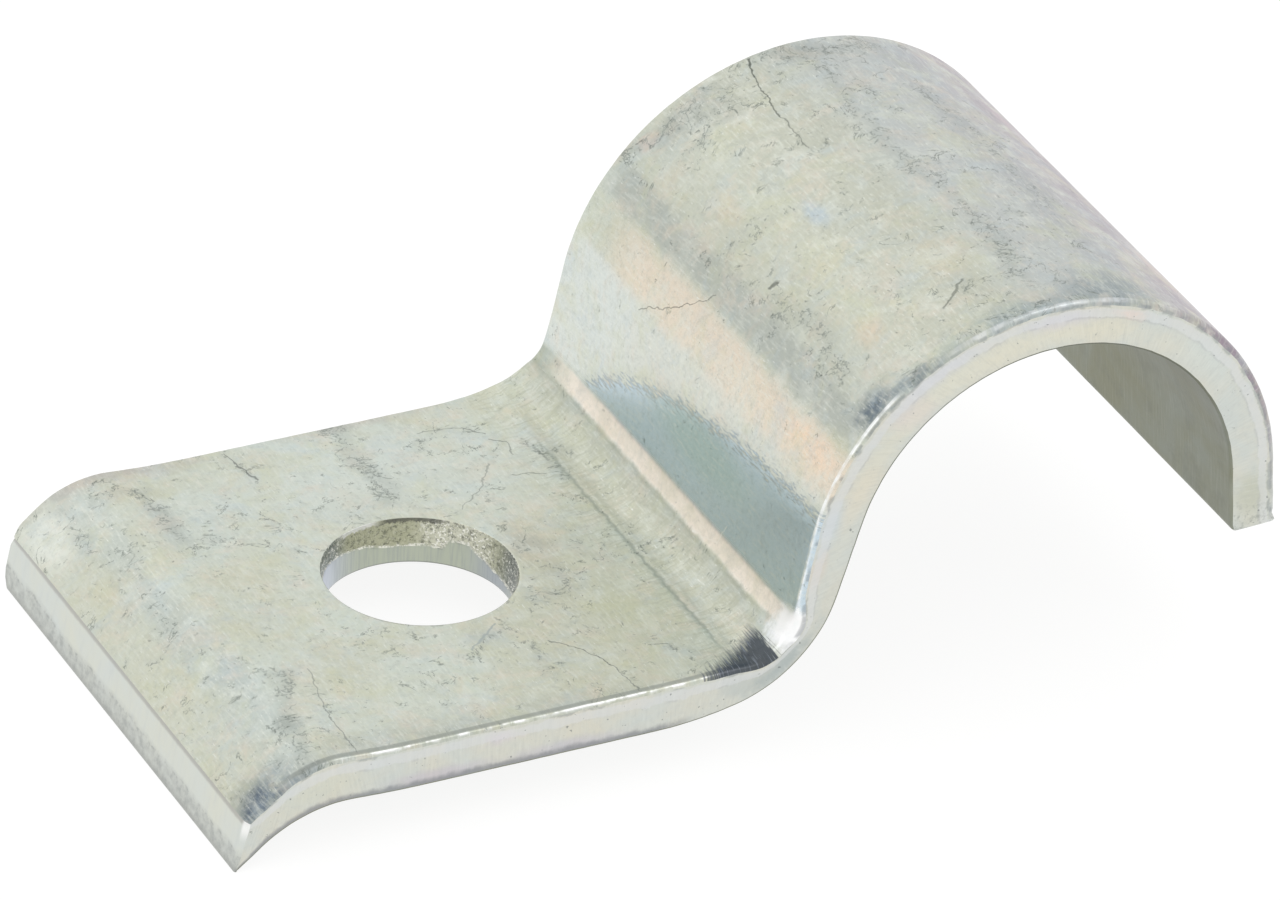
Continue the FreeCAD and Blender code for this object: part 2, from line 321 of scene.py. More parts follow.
@dataclass(frozen=True)
class SideView:
    """The strip's side view: its upper and lower lines are drawn apart, as the press thins the sheet."""

    sheet: float = 1.85
    flat_half: float = 4.5
    runout_radius: float = 38.0
    foot_runout_lower: float = 13.5
    foot_inner_radius: float = 2.0
    foot_outer_radius: float = 5.2
    riser_angle: float = 80.0
    riser_lower_angle: float = 74.2
    saddle_radius: float = 9.45
    saddle_offset: float = 19.55
    saddle_rise: float = 4.8
    tail_angle: float = 84.5
    tail_length: float = 2.16
    tail_slant: float = 0.12
    lip_radius: float = 0.87
    lip_sweep: float = 37.5
    lip_corner: float = 0.17
    tail_corner: float = 0.28
    heel_reach: float = 11.75
    heel_drop: float = 1.96
    heel_angle: float = 39.5
    heel_face: float = 2.18
    heel_face_angle: float = 80.5
    heel_upper_radius: float = 3.85
    heel_lower_radius: float = 5.05
    heel_top_corner: float = 0.3
    heel_low_corner: float = 0.06

    def heel_tip(self, upper: bool) -> np.ndarray:
        """Sharp upper or lower corner of the parted face at the heel."""
        tip = np.array([-self.heel_reach, -self.heel_drop])
        return tip + heading(self.heel_face_angle) * self.heel_face if upper else tip

    def face_runs(self, upper: bool) -> list[Run]:
        """Stretches of the upper or lower line from the heel's sharp corner to the tail's straight part."""
        level = self.sheet if upper else 0.0
        heel_runout = self.runout_radius + (0 if upper else self.sheet)
        foot_runout = self.runout_radius if upper else self.foot_runout_lower
        foot = self.foot_inner_radius if upper else self.foot_outer_radius
        saddle = self.saddle_radius - (0 if upper else self.sheet)
        bend = self.heel_upper_radius if upper else self.heel_lower_radius

        rise = heading(self.riser_angle if upper else self.riser_lower_angle)
        axis = np.array([self.saddle_offset, self.saddle_rise])
        riser_top = axis + left_of(rise) * saddle
        right_centre = np.array([self.flat_half, level + foot_runout])
        foot_line = riser_top + left_of(rise) * foot
        foot_centre = first_at_distance(foot_line, rise, right_centre, foot_runout - foot)
        foot_start = right_centre + unit(foot_centre - right_centre) * foot_runout
        riser_start = foot_centre - left_of(rise) * foot

        slope = heading(self.heel_angle)
        tip = self.heel_tip(upper)
        left_centre = np.array([-self.flat_half, level + heel_runout])
        bend_line = tip - left_of(slope) * bend
        bend_centre = first_at_distance(bend_line, slope, left_centre, heel_runout + bend)
        bend_start = bend_centre + left_of(slope) * bend
        bend_end = left_centre + unit(bend_centre - left_centre) * heel_runout
        flat_start = np.array([-self.flat_half, level])
        flat_end = np.array([self.flat_half, level])
        tail_start = axis + left_of(heading(-self.tail_angle)) * saddle
        return [
            Run(tip, bend_start),
            Run(bend_start, bend_end, bend_centre, False),
            Run(bend_end, flat_start, left_centre, True),
            Run(flat_start, flat_end),
            Run(flat_end, foot_start, right_centre, True),
            Run(foot_start, riser_start, foot_centre, True),
            Run(riser_start, riser_top),
            Run(riser_top, tail_start, axis, False),
        ]

    def outline(self) -> tuple[list[Run], list[Run], list[Run], list[Run]]:
        """The whole side view, travelled clockwise with its corners rounded.

        Returns:
            Runs of the upper line, the tail face, the lower line and the heel face. The lower line is given
            from heel to tail, with one run for each run of the upper line.
        """
        upper, lower = self.face_runs(True), self.face_runs(False)
        down, face_up = heading(-self.tail_angle), heading(self.heel_face_angle)
        slope = heading(self.heel_angle)
        tail_top = upper[-1].end
        tail_end = tail_top + down * self.tail_length
        lip_centre = tail_end + left_of(down) * self.lip_radius
        lip_way = heading(self.lip_sweep - self.tail_angle)
        lip_tip = lip_centre - left_of(lip_way) * self.lip_radius
        inner_start = lower[-1].end
        inner_end = inner_start + down * (float((lip_tip - inner_start) @ down) - self.tail_slant)
        across = unit(inner_end - lip_tip)

        heel_in, heel_out = rounded_corner(upper[0].start, face_up, slope, self.heel_top_corner)
        lip_in, lip_out = rounded_corner(lip_tip, lip_way, across, self.lip_corner)
        tail_in, tail_out = rounded_corner(inner_end, across, -down, self.tail_corner)
        low_in, low_out = rounded_corner(lower[0].start, -slope, face_up, self.heel_low_corner)

        inner_split = inner_start + (tail_out.end - inner_start) * 0.8
        upper_line = [
            heel_out, Run(heel_out.end, upper[0].end), *upper[1:],
            Run(tail_top, tail_end), Run(tail_end, lip_in.start, lip_centre, True), lip_in,
        ]
        lower_line = [
            Run(low_in.end, low_in.start, low_in.centre, True), Run(low_in.start, lower[0].end), *lower[1:],
            Run(inner_start, inner_split), Run(inner_split, tail_out.end),
            Run(tail_out.end, tail_out.start, tail_out.centre, True),
        ]
        tail_face = [lip_out, Run(lip_out.end, tail_in.start), tail_in]
        heel_face = [low_out, Run(low_out.end, heel_in.start), heel_in]
        return upper_line, tail_face, lower_line, heel_face


# ---------------------------------------------------------------------------------------------------------
# The strap's mesh
# ---------------------------------------------------------------------------------------------------------

@dataclass
class MeshDraft:
    """Vertices, faces and surface data gathered before they become one Blender mesh."""

    places: list[np.ndarray] = field(default_factory=list)
    strip: list[np.ndarray] = field(default_factory=list)
    faces: list[np.ndarray] = field(default_factory=list)
    zones: list[np.ndarray] = field(default_factory=list)
    count: int = 0

    def add_points(self, places: np.ndarray, strip: np.ndarray) -> np.ndarray:
        """Add vertices and return their numbers in the same layout.

        Args:
            places: positions, the last axis holding X, Y and Z.
            strip: distance from the heel, distance across and depth for each position.

        Returns:
            Vertex numbers, one axis fewer than the positions.
        """
        numbers = np.arange(self.count, self.count + places[..., 0].size).reshape(places.shape[:-1])
        self.places.append(places.reshape(-1, 3))
        self.strip.append(strip.reshape(-1, 3))
        self.count += numbers.size
        return numbers

    def add_quads(self, quads: np.ndarray, zone: Zone) -> None:
        """Add faces of one zone from rows of four vertex numbers."""
        quads = quads.reshape(-1, 4)
        self.faces.append(quads)
        self.zones.append(np.full(len(quads), zone.value))

    def add_grid(self, grid: np.ndarray, zone: Zone, flip: bool = False) -> None:
        """Add the faces of a grid of vertex numbers."""
        quads = np.stack([grid[:-1, :-1], grid[1:, :-1], grid[1:, 1:], grid[:-1, 1:]], axis=-1)
        self.add_quads(quads[..., ::-1] if flip else quads, zone)

    def build(self, name: str, low: Vector, high: Vector) -> bpy.types.Object:
        """Make the Blender object, kept inside the frame's box.

        Args:
            name: name of the object and its mesh.
            low: lowest corner of the box, in metres.
            high: highest corner of the box, in metres.

        Returns:
            The new object, linked to the scene.
        """
        places = np.clip(np.concatenate(self.places) * METRE, np.array(low), np.array(high))
        faces = np.concatenate(self.faces)
        mesh = bpy.data.meshes.new(name)
        mesh.from_pydata(places.tolist(), [], faces.tolist())
        mesh.polygons.foreach_set("material_index", np.concatenate(self.zones).astype(np.int32))
        layer = mesh.attributes.new("strip", "FLOAT_VECTOR", "POINT")
        strip = np.concatenate(self.strip)
        layer.data.foreach_set("vector", strip.astype(np.float32).ravel())
        crowd = mesh.attributes.new("crowding", "FLOAT", "POINT")
        crowd.data.foreach_set("value", RolledFace.crowding(strip).astype(np.float32))
        mesh.shade_smooth()
        mesh.set_sharp_from_angle(angle=math.radians(58))
        mesh.validate()
        mesh.update()
        made = bpy.data.objects.new(name, mesh)
        bpy.context.scene.collection.objects.link(made)
        return made


@dataclass
class StrapSheet:
    """The folded, punched and plated strip.

    Attributes:
        view: the strip's side view.
        width: width of the strip, along the conduit.
        upper_roll: rounding that shearing left along the upper edges.
        lower_roll: rounding along the lower edges.
        end_roll: rounding along the parted tail face.
        heel_low_rear_corner: rounding of the heel face's lower rear corner, seen from the heel.
        heel_top_rear_corner: rounding of its upper rear corner.
        heel_low_front_corner: rounding of its lower front corner.
        heel_top_front_corner: rounding of its upper front corner.
        rear_share: rolling of the rear edge, as a share of the front edge's.
        rear_fill: how far the foot's bend is filled at the rear edge, where the strip crowded together.
        heel_fill: the same at the heel's bend.
        hole_radius: smooth land of the punched hole.
        hole_land: height of the land's top over the underside.
        hole_break: how much the torn zone opens towards the top.
        hole_roll: rolled rim below.
        cell: usual spacing of the mesh along and across the strip.
        rows: mesh cells through the sheet's thickness.
        roll_steps: mesh cells round a rolled edge.
    """

    view: SideView = field(default_factory=SideView)
    width: float = 20.0
    upper_roll: float = 0.25
    lower_roll: float = 0.09
    end_roll: float = 0.045
    heel_low_rear_corner: float = 0.9
    heel_top_rear_corner: float = 0.45
    heel_top_front_corner: float = 0.06
    heel_low_front_corner: float = 0.2
    rear_share: float = 0.45
    rear_fill: float = 0.36
    heel_fill: float = 0.13
    hole_radius: float = 3.45
    hole_land: float = 0.7
    hole_break: float = 0.1
    hole_roll: float = 0.1
    cell: float = 0.203
    rows: int = 12
    roll_steps: int = 5

    # Cells in each run of the upper line, heel to lip, as a multiple of the usual number.
    FINENESS = (3.0, 1.4, 1.4, 1.0, 1.0, 1.6, 2.2, 1.3, 0.95, 1.0, 2.2, 1.0)
    FLAT_RUN = 4  # the run that holds the hole
    HOLE_S = 11.93  # the hole's middle along the strip
    GRAIN_RADIUS = 3.5  # radius at which the grain of the hole's wall is read
    END_CELLS = 14  # cells over which the sides' mesh leaves the line of a parted end
    SIDE_WAVE = 0.006  # height of the fine lines on the sheared sides
    # Where the upper edge is rolled more or less: change of radius, middle, reach and power of the fall.
    ROLL_WAVES = ((0.3, 22.1, 0.75, 2), (-0.09, 29.0, 5.0, 4), (-0.08, 12.0, 8.0, 6))
    # Height of the hole's smooth land by the angle round the hole, anticlockwise from +X.
    LAND_HEIGHTS = (
        (0, 0.42), (15, 0.56), (26, 0.80), (34, 1.10), (46, 1.10), (50, 0.72), (80, 0.70), (100, 0.93),
        (120, 1.08), (135, 1.18), (180, 0.85), (270, 0.65), (360, 0.42),
    )

    def side_lines(self) -> dict[str, np.ndarray]:
        """Sample the side view into one closed line.

        Returns:
            "line" the points, "s" distance from the heel along the upper line, "depth" 1 at the upper line
            and 0 at the lower, "roll" the rolled edge's radius, and the numbers of cells "along", "window"
            first and last station of the flat round the hole.
        """
        upper, tail, lower, heel = self.view.outline()
        up, low, stations, window = [], [], [], (0, 0)
        travelled = self.view.heel_top_corner * 0.2
        for number, (top, bottom) in enumerate(zip(upper, lower)):
            reach = max(top.length(), bottom.length())
            cells = max(3, round(reach / self.cell * self.FINENESS[number]))
            cells = {0: 3, len(upper) - 1: 3}.get(number, cells)
            fractions = np.linspace(0, 1, cells + 1)
            if number == self.FLAT_RUN:
                window = (sum(map(len, up)), sum(map(len, up)) + cells)
            up.append(top.points(fractions)[:-1])
            low.append(bottom.points(fractions)[:-1])
            stations.append(travelled + fractions[:-1] * top.length())
            travelled += top.length()
        up.append(upper[-1].end[None])
        low.append(lower[-1].end[None])
        stations.append(np.array([travelled]))
        up, low, stations = np.concatenate(up), np.concatenate(low), np.concatenate(stations)

        corner = 3
        middle = self.rows - 2 * corner
        steps = (corner, middle, corner)
        tail_line, heel_line = (
            np.concatenate([run.points(np.linspace(0, 1, n + 1))[:-1] for run, n in zip(runs, steps)])
            for runs in (tail, heel)
        )
        tail_sink, heel_sink = (1 - self.travelled_share(ends) for ends in (tail_line, heel_line))
        line = np.concatenate([up[:-1], tail_line, low[:0:-1], heel_line])
        last = stations[-1]
        return {
            "line": line,
            "s": np.concatenate([stations[:-1], np.full(self.rows, last), stations[:0:-1],
                                 np.zeros(self.rows)]),
            "depth": np.concatenate([np.ones(len(up) - 1), tail_sink, np.zeros(len(low) - 1), 1 - heel_sink]),
            "roll": np.concatenate([
                np.full(len(up) - 1, self.upper_roll),
                self.end_roll + 0 * tail_sink,
                np.full(len(low) - 1, self.lower_roll),
                self.lower_roll + (self.upper_roll - self.lower_roll) * (1 - heel_sink),
            ]),
            "along": np.array([len(up) - 1]),
            "window": np.array(window),
        }

    @staticmethod
    def travelled_share(line: np.ndarray) -> np.ndarray:
        """Share of a line's length that lies behind each of its points."""
        steps = np.linalg.norm(np.diff(line, axis=0), axis=1)
        travelled = np.concatenate([[0], np.cumsum(steps)])
        return travelled / (travelled[-1] + steps[-1])

    def columns(self) -> np.ndarray:
        """Fractions across the strip, with cells that narrow towards both edges."""
        edge, inner = 0.6, 5
        flat = self.width / 2 - self.upper_roll
        middle = np.linspace(-(flat - edge), flat - edge, round(2 * (flat - edge) / self.cell) + 1)
        margin = flat - edge * (1 - np.linspace(0, 1, inner + 1)[1:])
        across = np.concatenate([-margin[::-1], middle, margin])
        return (across + flat) / (2 * flat)

    def side_limit(self, spots: np.ndarray, rear: bool) -> np.ndarray:
        """How far the strip reaches to one side, less at the heel face's rounded corners.

        Args:
            spots: points of the side view.
            rear: True for the rear side, False for the front.

        Returns:
            Distances from the strip's middle.
        """
        face = heading(self.view.heel_face_angle)
        offset = spots - self.view.heel_tip(False)
        depth, height = offset @ -left_of(face), offset @ face
        radius = self.heel_low_rear_corner if rear else self.heel_low_front_corner
        # The low corner leans back with depth, and dies out between 0.8 and 2.8 mm behind the face.
        low = self.missing_at(height + 0.35 * np.maximum(depth, 0), radius) * np.clip(1.4 - depth / 2, 0, 1)
        ball = self.heel_top_rear_corner if rear else self.heel_top_front_corner
        top = np.minimum(self.missing_at(self.view.heel_face - height, ball),
                         self.missing_at(depth, ball))
        return self.width / 2 - np.maximum(low, top)

    @staticmethod
    def missing_at(depth: np.ndarray, radius: float) -> np.ndarray:
        """What a rounded corner takes off one side at a depth from the other."""
        left = radius - np.clip(depth, 0, radius)
        return radius - np.sqrt(radius ** 2 - left ** 2)

    @staticmethod
    def ridge(s: np.ndarray, height: float, middle: float, reach: float) -> np.ndarray:
        """Soft ridge across the strip, by its height, middle and reach along the strip."""
        return height * np.exp(-((s - middle) / reach) ** 2)

    def dents(self, s: np.ndarray, across: np.ndarray, upper: np.ndarray) -> np.ndarray:
        """How far the real surface lies under its drawn line.

        Args:
            s: distances from the heel.
            across: distances across the strip.
            upper: 1 on the upper face and 0 elsewhere.

        Returns:
            Depths in millimetres, negative where the bend is filled.
        """
        spots = np.stack([s, across], axis=-1)
        waves = 0.006 * (1 + grain(spots, 5.5, 3.1)) + 0.004 * (1 + grain(spots, 1.7, 9.4))
        waves += 0.0015 * (1 + grain(spots, 0.6, 5.2))
        # The press tool's edge left one fine line before the foot, pressed deepest in the middle.
        span = np.clip((across + 9.2) / 1.5, 0, 1) * np.clip((7.0 - across) / 2.5, 0, 1)
        line = self.ridge(s, 0.018, 19.7, 0.09) * span
        # The foot's crease, and the shallow hollow that the bend pulled into its front corner.
        crease = self.ridge(s, 0.012, 21.65, 0.22) * np.clip((across + 8.0) / 3, 0, 1)
        hollow = 0.16 * np.exp(-((s - 20.7) / 0.9) ** 2 - ((across + 9.9) / 0.75) ** 2)
        crowded = np.clip((across - 6.4) / 3.6, 0, 1) ** 1.5
        fill = self.ridge(s, self.rear_fill, 21.0, 1.6) * crowded
        fill += self.ridge(s, self.heel_fill, 1.4, 2.0) * crowded
        return waves + (line + crease + hollow - fill) * upper

    def build(self) -> bpy.types.Object:
        """Build the whole mesh: skin, sheared sides and punched hole."""
        side = self.side_lines()
        line, along = side["line"], int(side["along"][0])
        loop = len(line)
        ahead, behind = np.roll(line, -1, axis=0), np.roll(line, 1, axis=0)
        outward = left_of(unit(ahead - behind))
        is_upper = np.arange(loop) <= along
        fractions = self.columns()
        draft = MeshDraft()

        roll = self.edge_roll(side, is_upper)
        rear_roll = roll * self.rear_share
        turns = np.linspace(0, math.pi / 2, self.roll_steps + 1)[1:]
        columns = [(-1, turn) for turn in turns[::-1]]
        columns += [(0, fraction) for fraction in fractions]
        columns += [(1, turn) for turn in turns]
        sheet = np.zeros((loop, len(columns), 3))
        for number, (edge, amount) in enumerate(columns):
            if edge == 0:
                spots = line
                front, rear = roll - self.side_limit(spots, False), self.side_limit(spots, True) - rear_roll
                across = front + (rear - front) * amount
            else:
                turned = roll if edge < 0 else rear_roll
                spots = line - outward * (turned * (1 - math.cos(amount)))[:, None]
                across = edge * (self.side_limit(spots, edge > 0) - turned * (1 - math.sin(amount)))
            sheet[:, number, 0], sheet[:, number, 1], sheet[:, number, 2] = spots[:, 0], across, spots[:, 1]
        s = np.repeat(side["s"][:, None], len(columns), axis=1)
        depth = np.repeat(side["depth"][:, None], len(columns), axis=1)
        sunk = self.dents(s, sheet[..., 1], is_upper[:, None].astype(float))
        normal = np.stack([outward[:, 0], np.zeros(loop), outward[:, 1]], axis=-1)
        sheet -= normal[:, None, :] * sunk[..., None]
        strip = np.stack([s, sheet[..., 1], depth], axis=-1)
        skin = draft.add_points(sheet, strip)
        skin = np.concatenate([skin, skin[:1]])

        windows = self.lay_faces(draft, skin, sheet[0, :, 1], side)
        self.close_sides(draft, skin, sheet, side)
        self.punch_hole(draft, windows, sheet.reshape(-1, 3), strip.reshape(-1, 3))
        LOG.info("strap mesh: %d vertices", draft.count)
        return draft.build("strap_sheet", *CAD_BOX)

    def edge_roll(self, side: dict[str, np.ndarray], is_upper: np.ndarray) -> np.ndarray:
        """Radius of the rolled front edge along the line.

        Args:
            side: the sampled side view.
            is_upper: which points lie on the upper face.

        Returns:
            One radius per point.
        """
        # Beads along the rolled edges: the radius wanders by a fifth from lump to lump.
        beads = grain(np.stack([side["s"], side["depth"] * 9], axis=-1), 0.45, 1.7)
        roll = side["roll"] * (1 + 0.16 * beads)
        # The bends flattened the edge more in one place and less in others.
        for change, middle, reach, power in self.ROLL_WAVES:
            roll = roll + change * is_upper * np.exp(-((side["s"] - middle) / reach) ** power)
        return roll

    def lay_faces(self, draft: MeshDraft, skin: np.ndarray, across: np.ndarray,
                  side: dict[str, np.ndarray]) -> list[np.ndarray]:
        """Add the skin's faces zone by zone, and leave a window for the hole in the upper and lower face.

        Args:
            draft: mesh to add to.
            skin: vertex numbers of the skin.
            across: where the skin's columns lie across the strip.
            side: the sampled side view.

        Returns:
            Vertex numbers of the two windows, upper face first.
        """
        along, loop = int(side["along"][0]), len(side["line"])
        first, last = int(side["window"][0]), int(side["window"][1])
        nearest = [int(np.abs(across - edge * self.view.flat_half).argmin()) for edge in (-1, 1)]
        low_first, low_last = loop - self.rows - last, loop - self.rows - first
        for start, end, zone in (
            (0, along, Zone.ROLLED),
            (along, along + self.rows, Zone.PARTED),
            (along + self.rows, loop - self.rows, Zone.INNER),
            (loop - self.rows, loop, Zone.PARTED),
        ):
            if zone in (Zone.ROLLED, Zone.INNER):
                cut = (first, last) if zone is Zone.ROLLED else (low_first, low_last)
                draft.add_grid(skin[start:cut[0] + 1], zone)
                draft.add_grid(skin[cut[0]:cut[1] + 1, :nearest[0] + 1], zone)
                draft.add_grid(skin[cut[0]:cut[1] + 1, nearest[1]:], zone)
                draft.add_grid(skin[cut[1]:end + 1], zone)
            else:
                draft.add_grid(skin[start:end + 1], zone)
        inside = slice(nearest[0], nearest[1] + 1)
        return [skin[first:last + 1, inside], skin[low_first:low_last + 1, inside][::-1]]

    def close_sides(self, draft: MeshDraft, skin: np.ndarray, sheet: np.ndarray,
                    side: dict[str, np.ndarray]) -> None:
        """Fill the two sheared sides between the skin's outermost columns.

        Args:
            draft: mesh to add to.
            skin: vertex numbers of the skin.
            sheet: positions of the skin.
            side: the sampled side view.
        """
        along, rows, loop = int(side["along"][0]), self.rows, len(side["line"])
        stations, levels = np.arange(along + 1), np.arange(rows + 1)
        top, bottom = stations, (loop - rows - stations) % loop
        heel, tail = (loop - levels) % loop, along + levels
        for column, flip in ((0, True), (-1, False)):
            rim = sheet[:, column]
            sink = (levels / rows)[None, :, None]
            grid = rim[top][:, None] * (1 - sink) + rim[bottom][:, None] * sink
            for ends, station, fade in ((heel, 0, stations), (tail, along, along - stations)):
                pull = np.clip(1 - fade / self.END_CELLS, 0, 1)[:, None, None] ** 2
                grid = grid + pull * (rim[ends] - grid[station])[None]
            limit = self.side_limit(grid[..., [0, 2]], column == -1)
            reach = limit if column == -1 else -limit
            s = side["s"][top][:, None] + 0 * grid[..., 0]
            lines = grain(np.stack([s / 6, levels[None] / rows * self.view.sheet + 0 * s], axis=-1), 0.3, 4.4)
            grid[..., 1] = reach - (1 if column == -1 else -1) * self.SIDE_WAVE * (1 + lines)
            strip = np.stack([s, grid[..., 1], 1 - levels[None] / rows + 0 * s], axis=-1)
            numbers = draft.add_points(grid[1:-1, 1:-1], strip[1:-1, 1:-1])
            whole = np.zeros((along + 1, rows + 1), int)
            whole[1:-1, 1:-1] = numbers
            whole[:, 0], whole[:, -1] = skin[top, column], skin[bottom, column]
            whole[0], whole[-1] = skin[heel, column], skin[tail, column]
            draft.add_grid(whole, Zone.SHEARED, flip)

    def punch_hole(self, draft: MeshDraft, windows: list[np.ndarray], places: np.ndarray,
                   strip: np.ndarray) -> None:
        """Fit the round hole into the square windows of both faces and build its wall.

        Args:
            draft: mesh to add to.
            windows: vertex numbers of the square left open in the upper and in the lower face.
            places: positions of the skin, by vertex number.
            strip: strip coordinates of the skin, by vertex number.
        """
        rings = 9
        mouth = self.hole_radius + self.hole_break
        round_rims = []
        for upper, window in zip((True, False), windows):
            border = np.concatenate([window[:-1, 0], window[-1, :-1], window[:0:-1, -1], window[0, :0:-1]])
            base, marks = places[border], strip[border]
            angle = np.arctan2(base[:, 1], base[:, 0])
            rim = mouth if upper else self.hole_radius + self.hole_roll
            circle = np.stack([rim * np.cos(angle), rim * np.sin(angle)], axis=-1)
            rows = [border]
            for step in range(1, rings + 1):
                pull = 1 - (1 - step / rings) ** 1.25
                spot = base.copy()
                spot[:, :2] = base[:, :2] * (1 - pull) + circle * pull
                level = self.view.sheet if upper else 0.0
                spot[:, 2] = spot[:, 2] * (1 - pull) + level * pull
                mark = marks.copy()
                mark[:, 0] = marks[:, 0] + (spot[:, 0] - base[:, 0])
                mark[:, 1] = spot[:, 1]
                rows.append(draft.add_points(spot, mark))
            table = np.stack(rows)
            table = np.concatenate([table, table[:, :1]], axis=1)
            draft.add_grid(table, Zone.ROLLED if upper else Zone.INNER, flip=upper)
            round_rims.append((rows[-1], np.unwrap(angle)))

        (top, turn), (bottom, low_turn) = round_rims
        sheet, land = self.view.sheet, self.hole_land
        levels = np.concatenate([[sheet - 0.02, sheet - 0.06],
                                 np.linspace(sheet - 0.12, 0.12, 26), [0.05, 0.015]])
        table = [top]
        for level in levels:
            share = 1 - level / sheet
            way = turn * (1 - share) + low_turn * share
            round_way = np.cos(way) * self.GRAIN_RADIUS, np.sin(way) * self.GRAIN_RADIUS
            ring = np.stack([*round_way, np.full(len(way), level)], axis=-1)
            edge = np.interp(np.degrees(way) % 360, *zip(*self.LAND_HEIGHTS))
            edge += 0.06 * grain(ring * [1, 1, 0], 0.5, 2.2) + 0.03 * grain(ring * [1, 1, 0], 0.2, 6.1)
            torn = np.clip((level - edge) / 0.06, 0, 1)
            opening = (level - edge) / (sheet - land)
            lumps = grain(ring, 0.32, 7.7) * 0.6 + grain(ring, 0.14, 3.3) * 0.4
            radius = self.hole_radius + torn * (0.03 + 0.06 * np.clip(opening, 0, 1) + 0.05 * lumps)
            if level > sheet - 0.1:
                radius = radius + (mouth - 0.02 - radius) * (level - sheet + 0.1) / 0.1
            if level < self.hole_roll:
                sunk = math.sqrt(self.hole_roll ** 2 - (self.hole_roll - level) ** 2)
                radius = radius + self.hole_roll - sunk
            spot = np.stack([radius * np.cos(way), radius * np.sin(way), np.full(len(way), level)], axis=-1)
            mark = np.stack([self.HOLE_S + spot[:, 0], spot[:, 1], torn], axis=-1)
            table.append(draft.add_points(spot, mark))
        table.append(bottom)
        table = np.stack(table)
        table = np.concatenate([table, table[:, :1]], axis=1)
        draft.add_grid(table, Zone.PUNCHED, flip=True)

    def dress(self, sheet: bpy.types.Object) -> None:
        """Give each zone of the sheet its finish, in the order of the zones."""
        finishes = {
            Zone.ROLLED: RolledFace(),
            Zone.INNER: InnerFace(),
            Zone.SHEARED: ShearedEdge(),
            Zone.PARTED: PartedEnd(),
            Zone.PUNCHED: PunchedWall(),
        }
        for zone in Zone:
            sheet.data.materials.append(finishes[zone].material())


# ---------------------------------------------------------------------------------------------------------
# Patterns: each one returns a mask from 0 to 1
# ---------------------------------------------------------------------------------------------------------

def band(tree: Tree, along: Socket, start: float, end: float, soft: float) -> Socket:
    """Mask of a soft-edged band between two values.

    Args:
        tree: node tree.
        along: value that the band lies across.
        start: where it begins.
        end: where it ends.
        soft: width of each soft edge.

    Returns:
        The mask.
    """
    half = soft / 2
    rise = ramp(tree, along, start - half, start + half, smooth=True)
    fall = ramp(tree, along, end - half, end + half, 1.0, 0.0, smooth=True)
    return times(tree, rise, fall)


def jitter(tree: Tree, place: Socket, size: float, detail: float, roughness: float = 0.5) -> Socket:
    """Noise of three numbers about zero, to push a pattern about."""
    push = clouds(tree, place, size, detail, roughness, take=1)
    return vectors(tree, "SUBTRACT", push, (0.5, 0.5, 0.5))


def over(tree: Tree, value: Socket, level: object, soft: float) -> Socket:
    """Mask of where a value is more than a level."""
    return ramp(tree, maths(tree, "SUBTRACT", value, level), 0.0, soft)


def area(tree: Tree, s: Socket, y: Socket, along: tuple[float, ...], across: tuple[float, ...]) -> Socket:
    """Mask of a soft-edged area, from its start, end and softness in each of two directions."""
    return times(tree, band(tree, s, *along), band(tree, y, *across))


def patch(tree: Tree, place: Socket, centre: tuple[float, float],
          reach: tuple[float, float], soft: float) -> Socket:
    """Mask of a soft oval on the strip.

    Args:
        tree: node tree.
        place: strip coordinates.
        centre: middle of the oval.
        reach: half its length along and across the strip.
        soft: share of the reach over which it fades.

    Returns:
        The mask.
    """
    away = vectors(tree, "SUBTRACT", place, (*centre, 0.0))
    away = vectors(tree, "MULTIPLY", away, (1 / reach[0], 1 / reach[1], 0.0))
    far = vectors(tree, "LENGTH", away, take=1)
    return ramp(tree, far, 1 - soft, 1.0, 1.0, 0.0, smooth=True)


def hairline(tree: Tree, place: Socket, start: tuple[float, float],
             end: tuple[float, float], width: float) -> Socket:
    """Mask of one thin line on the strip.

    Args:
        tree: node tree.
        place: strip coordinates.
        start: first end of the line.
        end: second end.
        width: width of the line.

    Returns:
        The mask.
    """
    reach = math.dist(start, end)
    way = ((end[0] - start[0]) / reach, (end[1] - start[1]) / reach, 0.0)
    offset = vectors(tree, "SUBTRACT", place, (*start, 0.0))
    offset = vectors(tree, "MULTIPLY", offset, (1.0, 1.0, 0.0))
    run = vectors(tree, "DOT_PRODUCT", offset, way, take=1)
    run = ramp(tree, run, 0.0, reach, 0.0, reach)
    near = add(tree, "VectorMath", {0: way, "Scale": run}, operation="SCALE")
    far = vectors(tree, "DISTANCE", offset, near, take=1)
    return ramp(tree, far, width * 0.2, width * 0.8, 1.0, 0.0, smooth=True)


def layered(tree: Tree, ground: object, layers: list[tuple]) -> Socket:
    """Lay tints over a ground colour.

    Args:
        tree: node tree.
        ground: colour or colour socket underneath.
        layers: mask, hex colour and strength of each tint, the lowest first.

    Returns:
        The finished colour.
    """
    for mask, shade, strength in layers:
        amount = times(tree, mask, strength)
        ground = blend(tree, amount, ground, linear(shade))
    return ground


# ---------------------------------------------------------------------------------------------------------
# Finishes
# ---------------------------------------------------------------------------------------------------------

@dataclass(frozen=True)
class Tint:
    """One soft oval of colour on the strip; most are film colour, some are painted highlights and
    reflections.

    Attributes:
        s: middle, from the heel along the strip.
        y: middle, across the strip.
        along: half its length along the strip.
        across: half its width across the strip.
        shade: sRGB hex colour.
        strength: how much of it shows.
        soft: share of the reach over which it fades.
    """

    s: float
    y: float
    along: float
    across: float
    shade: str
    strength: float
    soft: float = 0.8


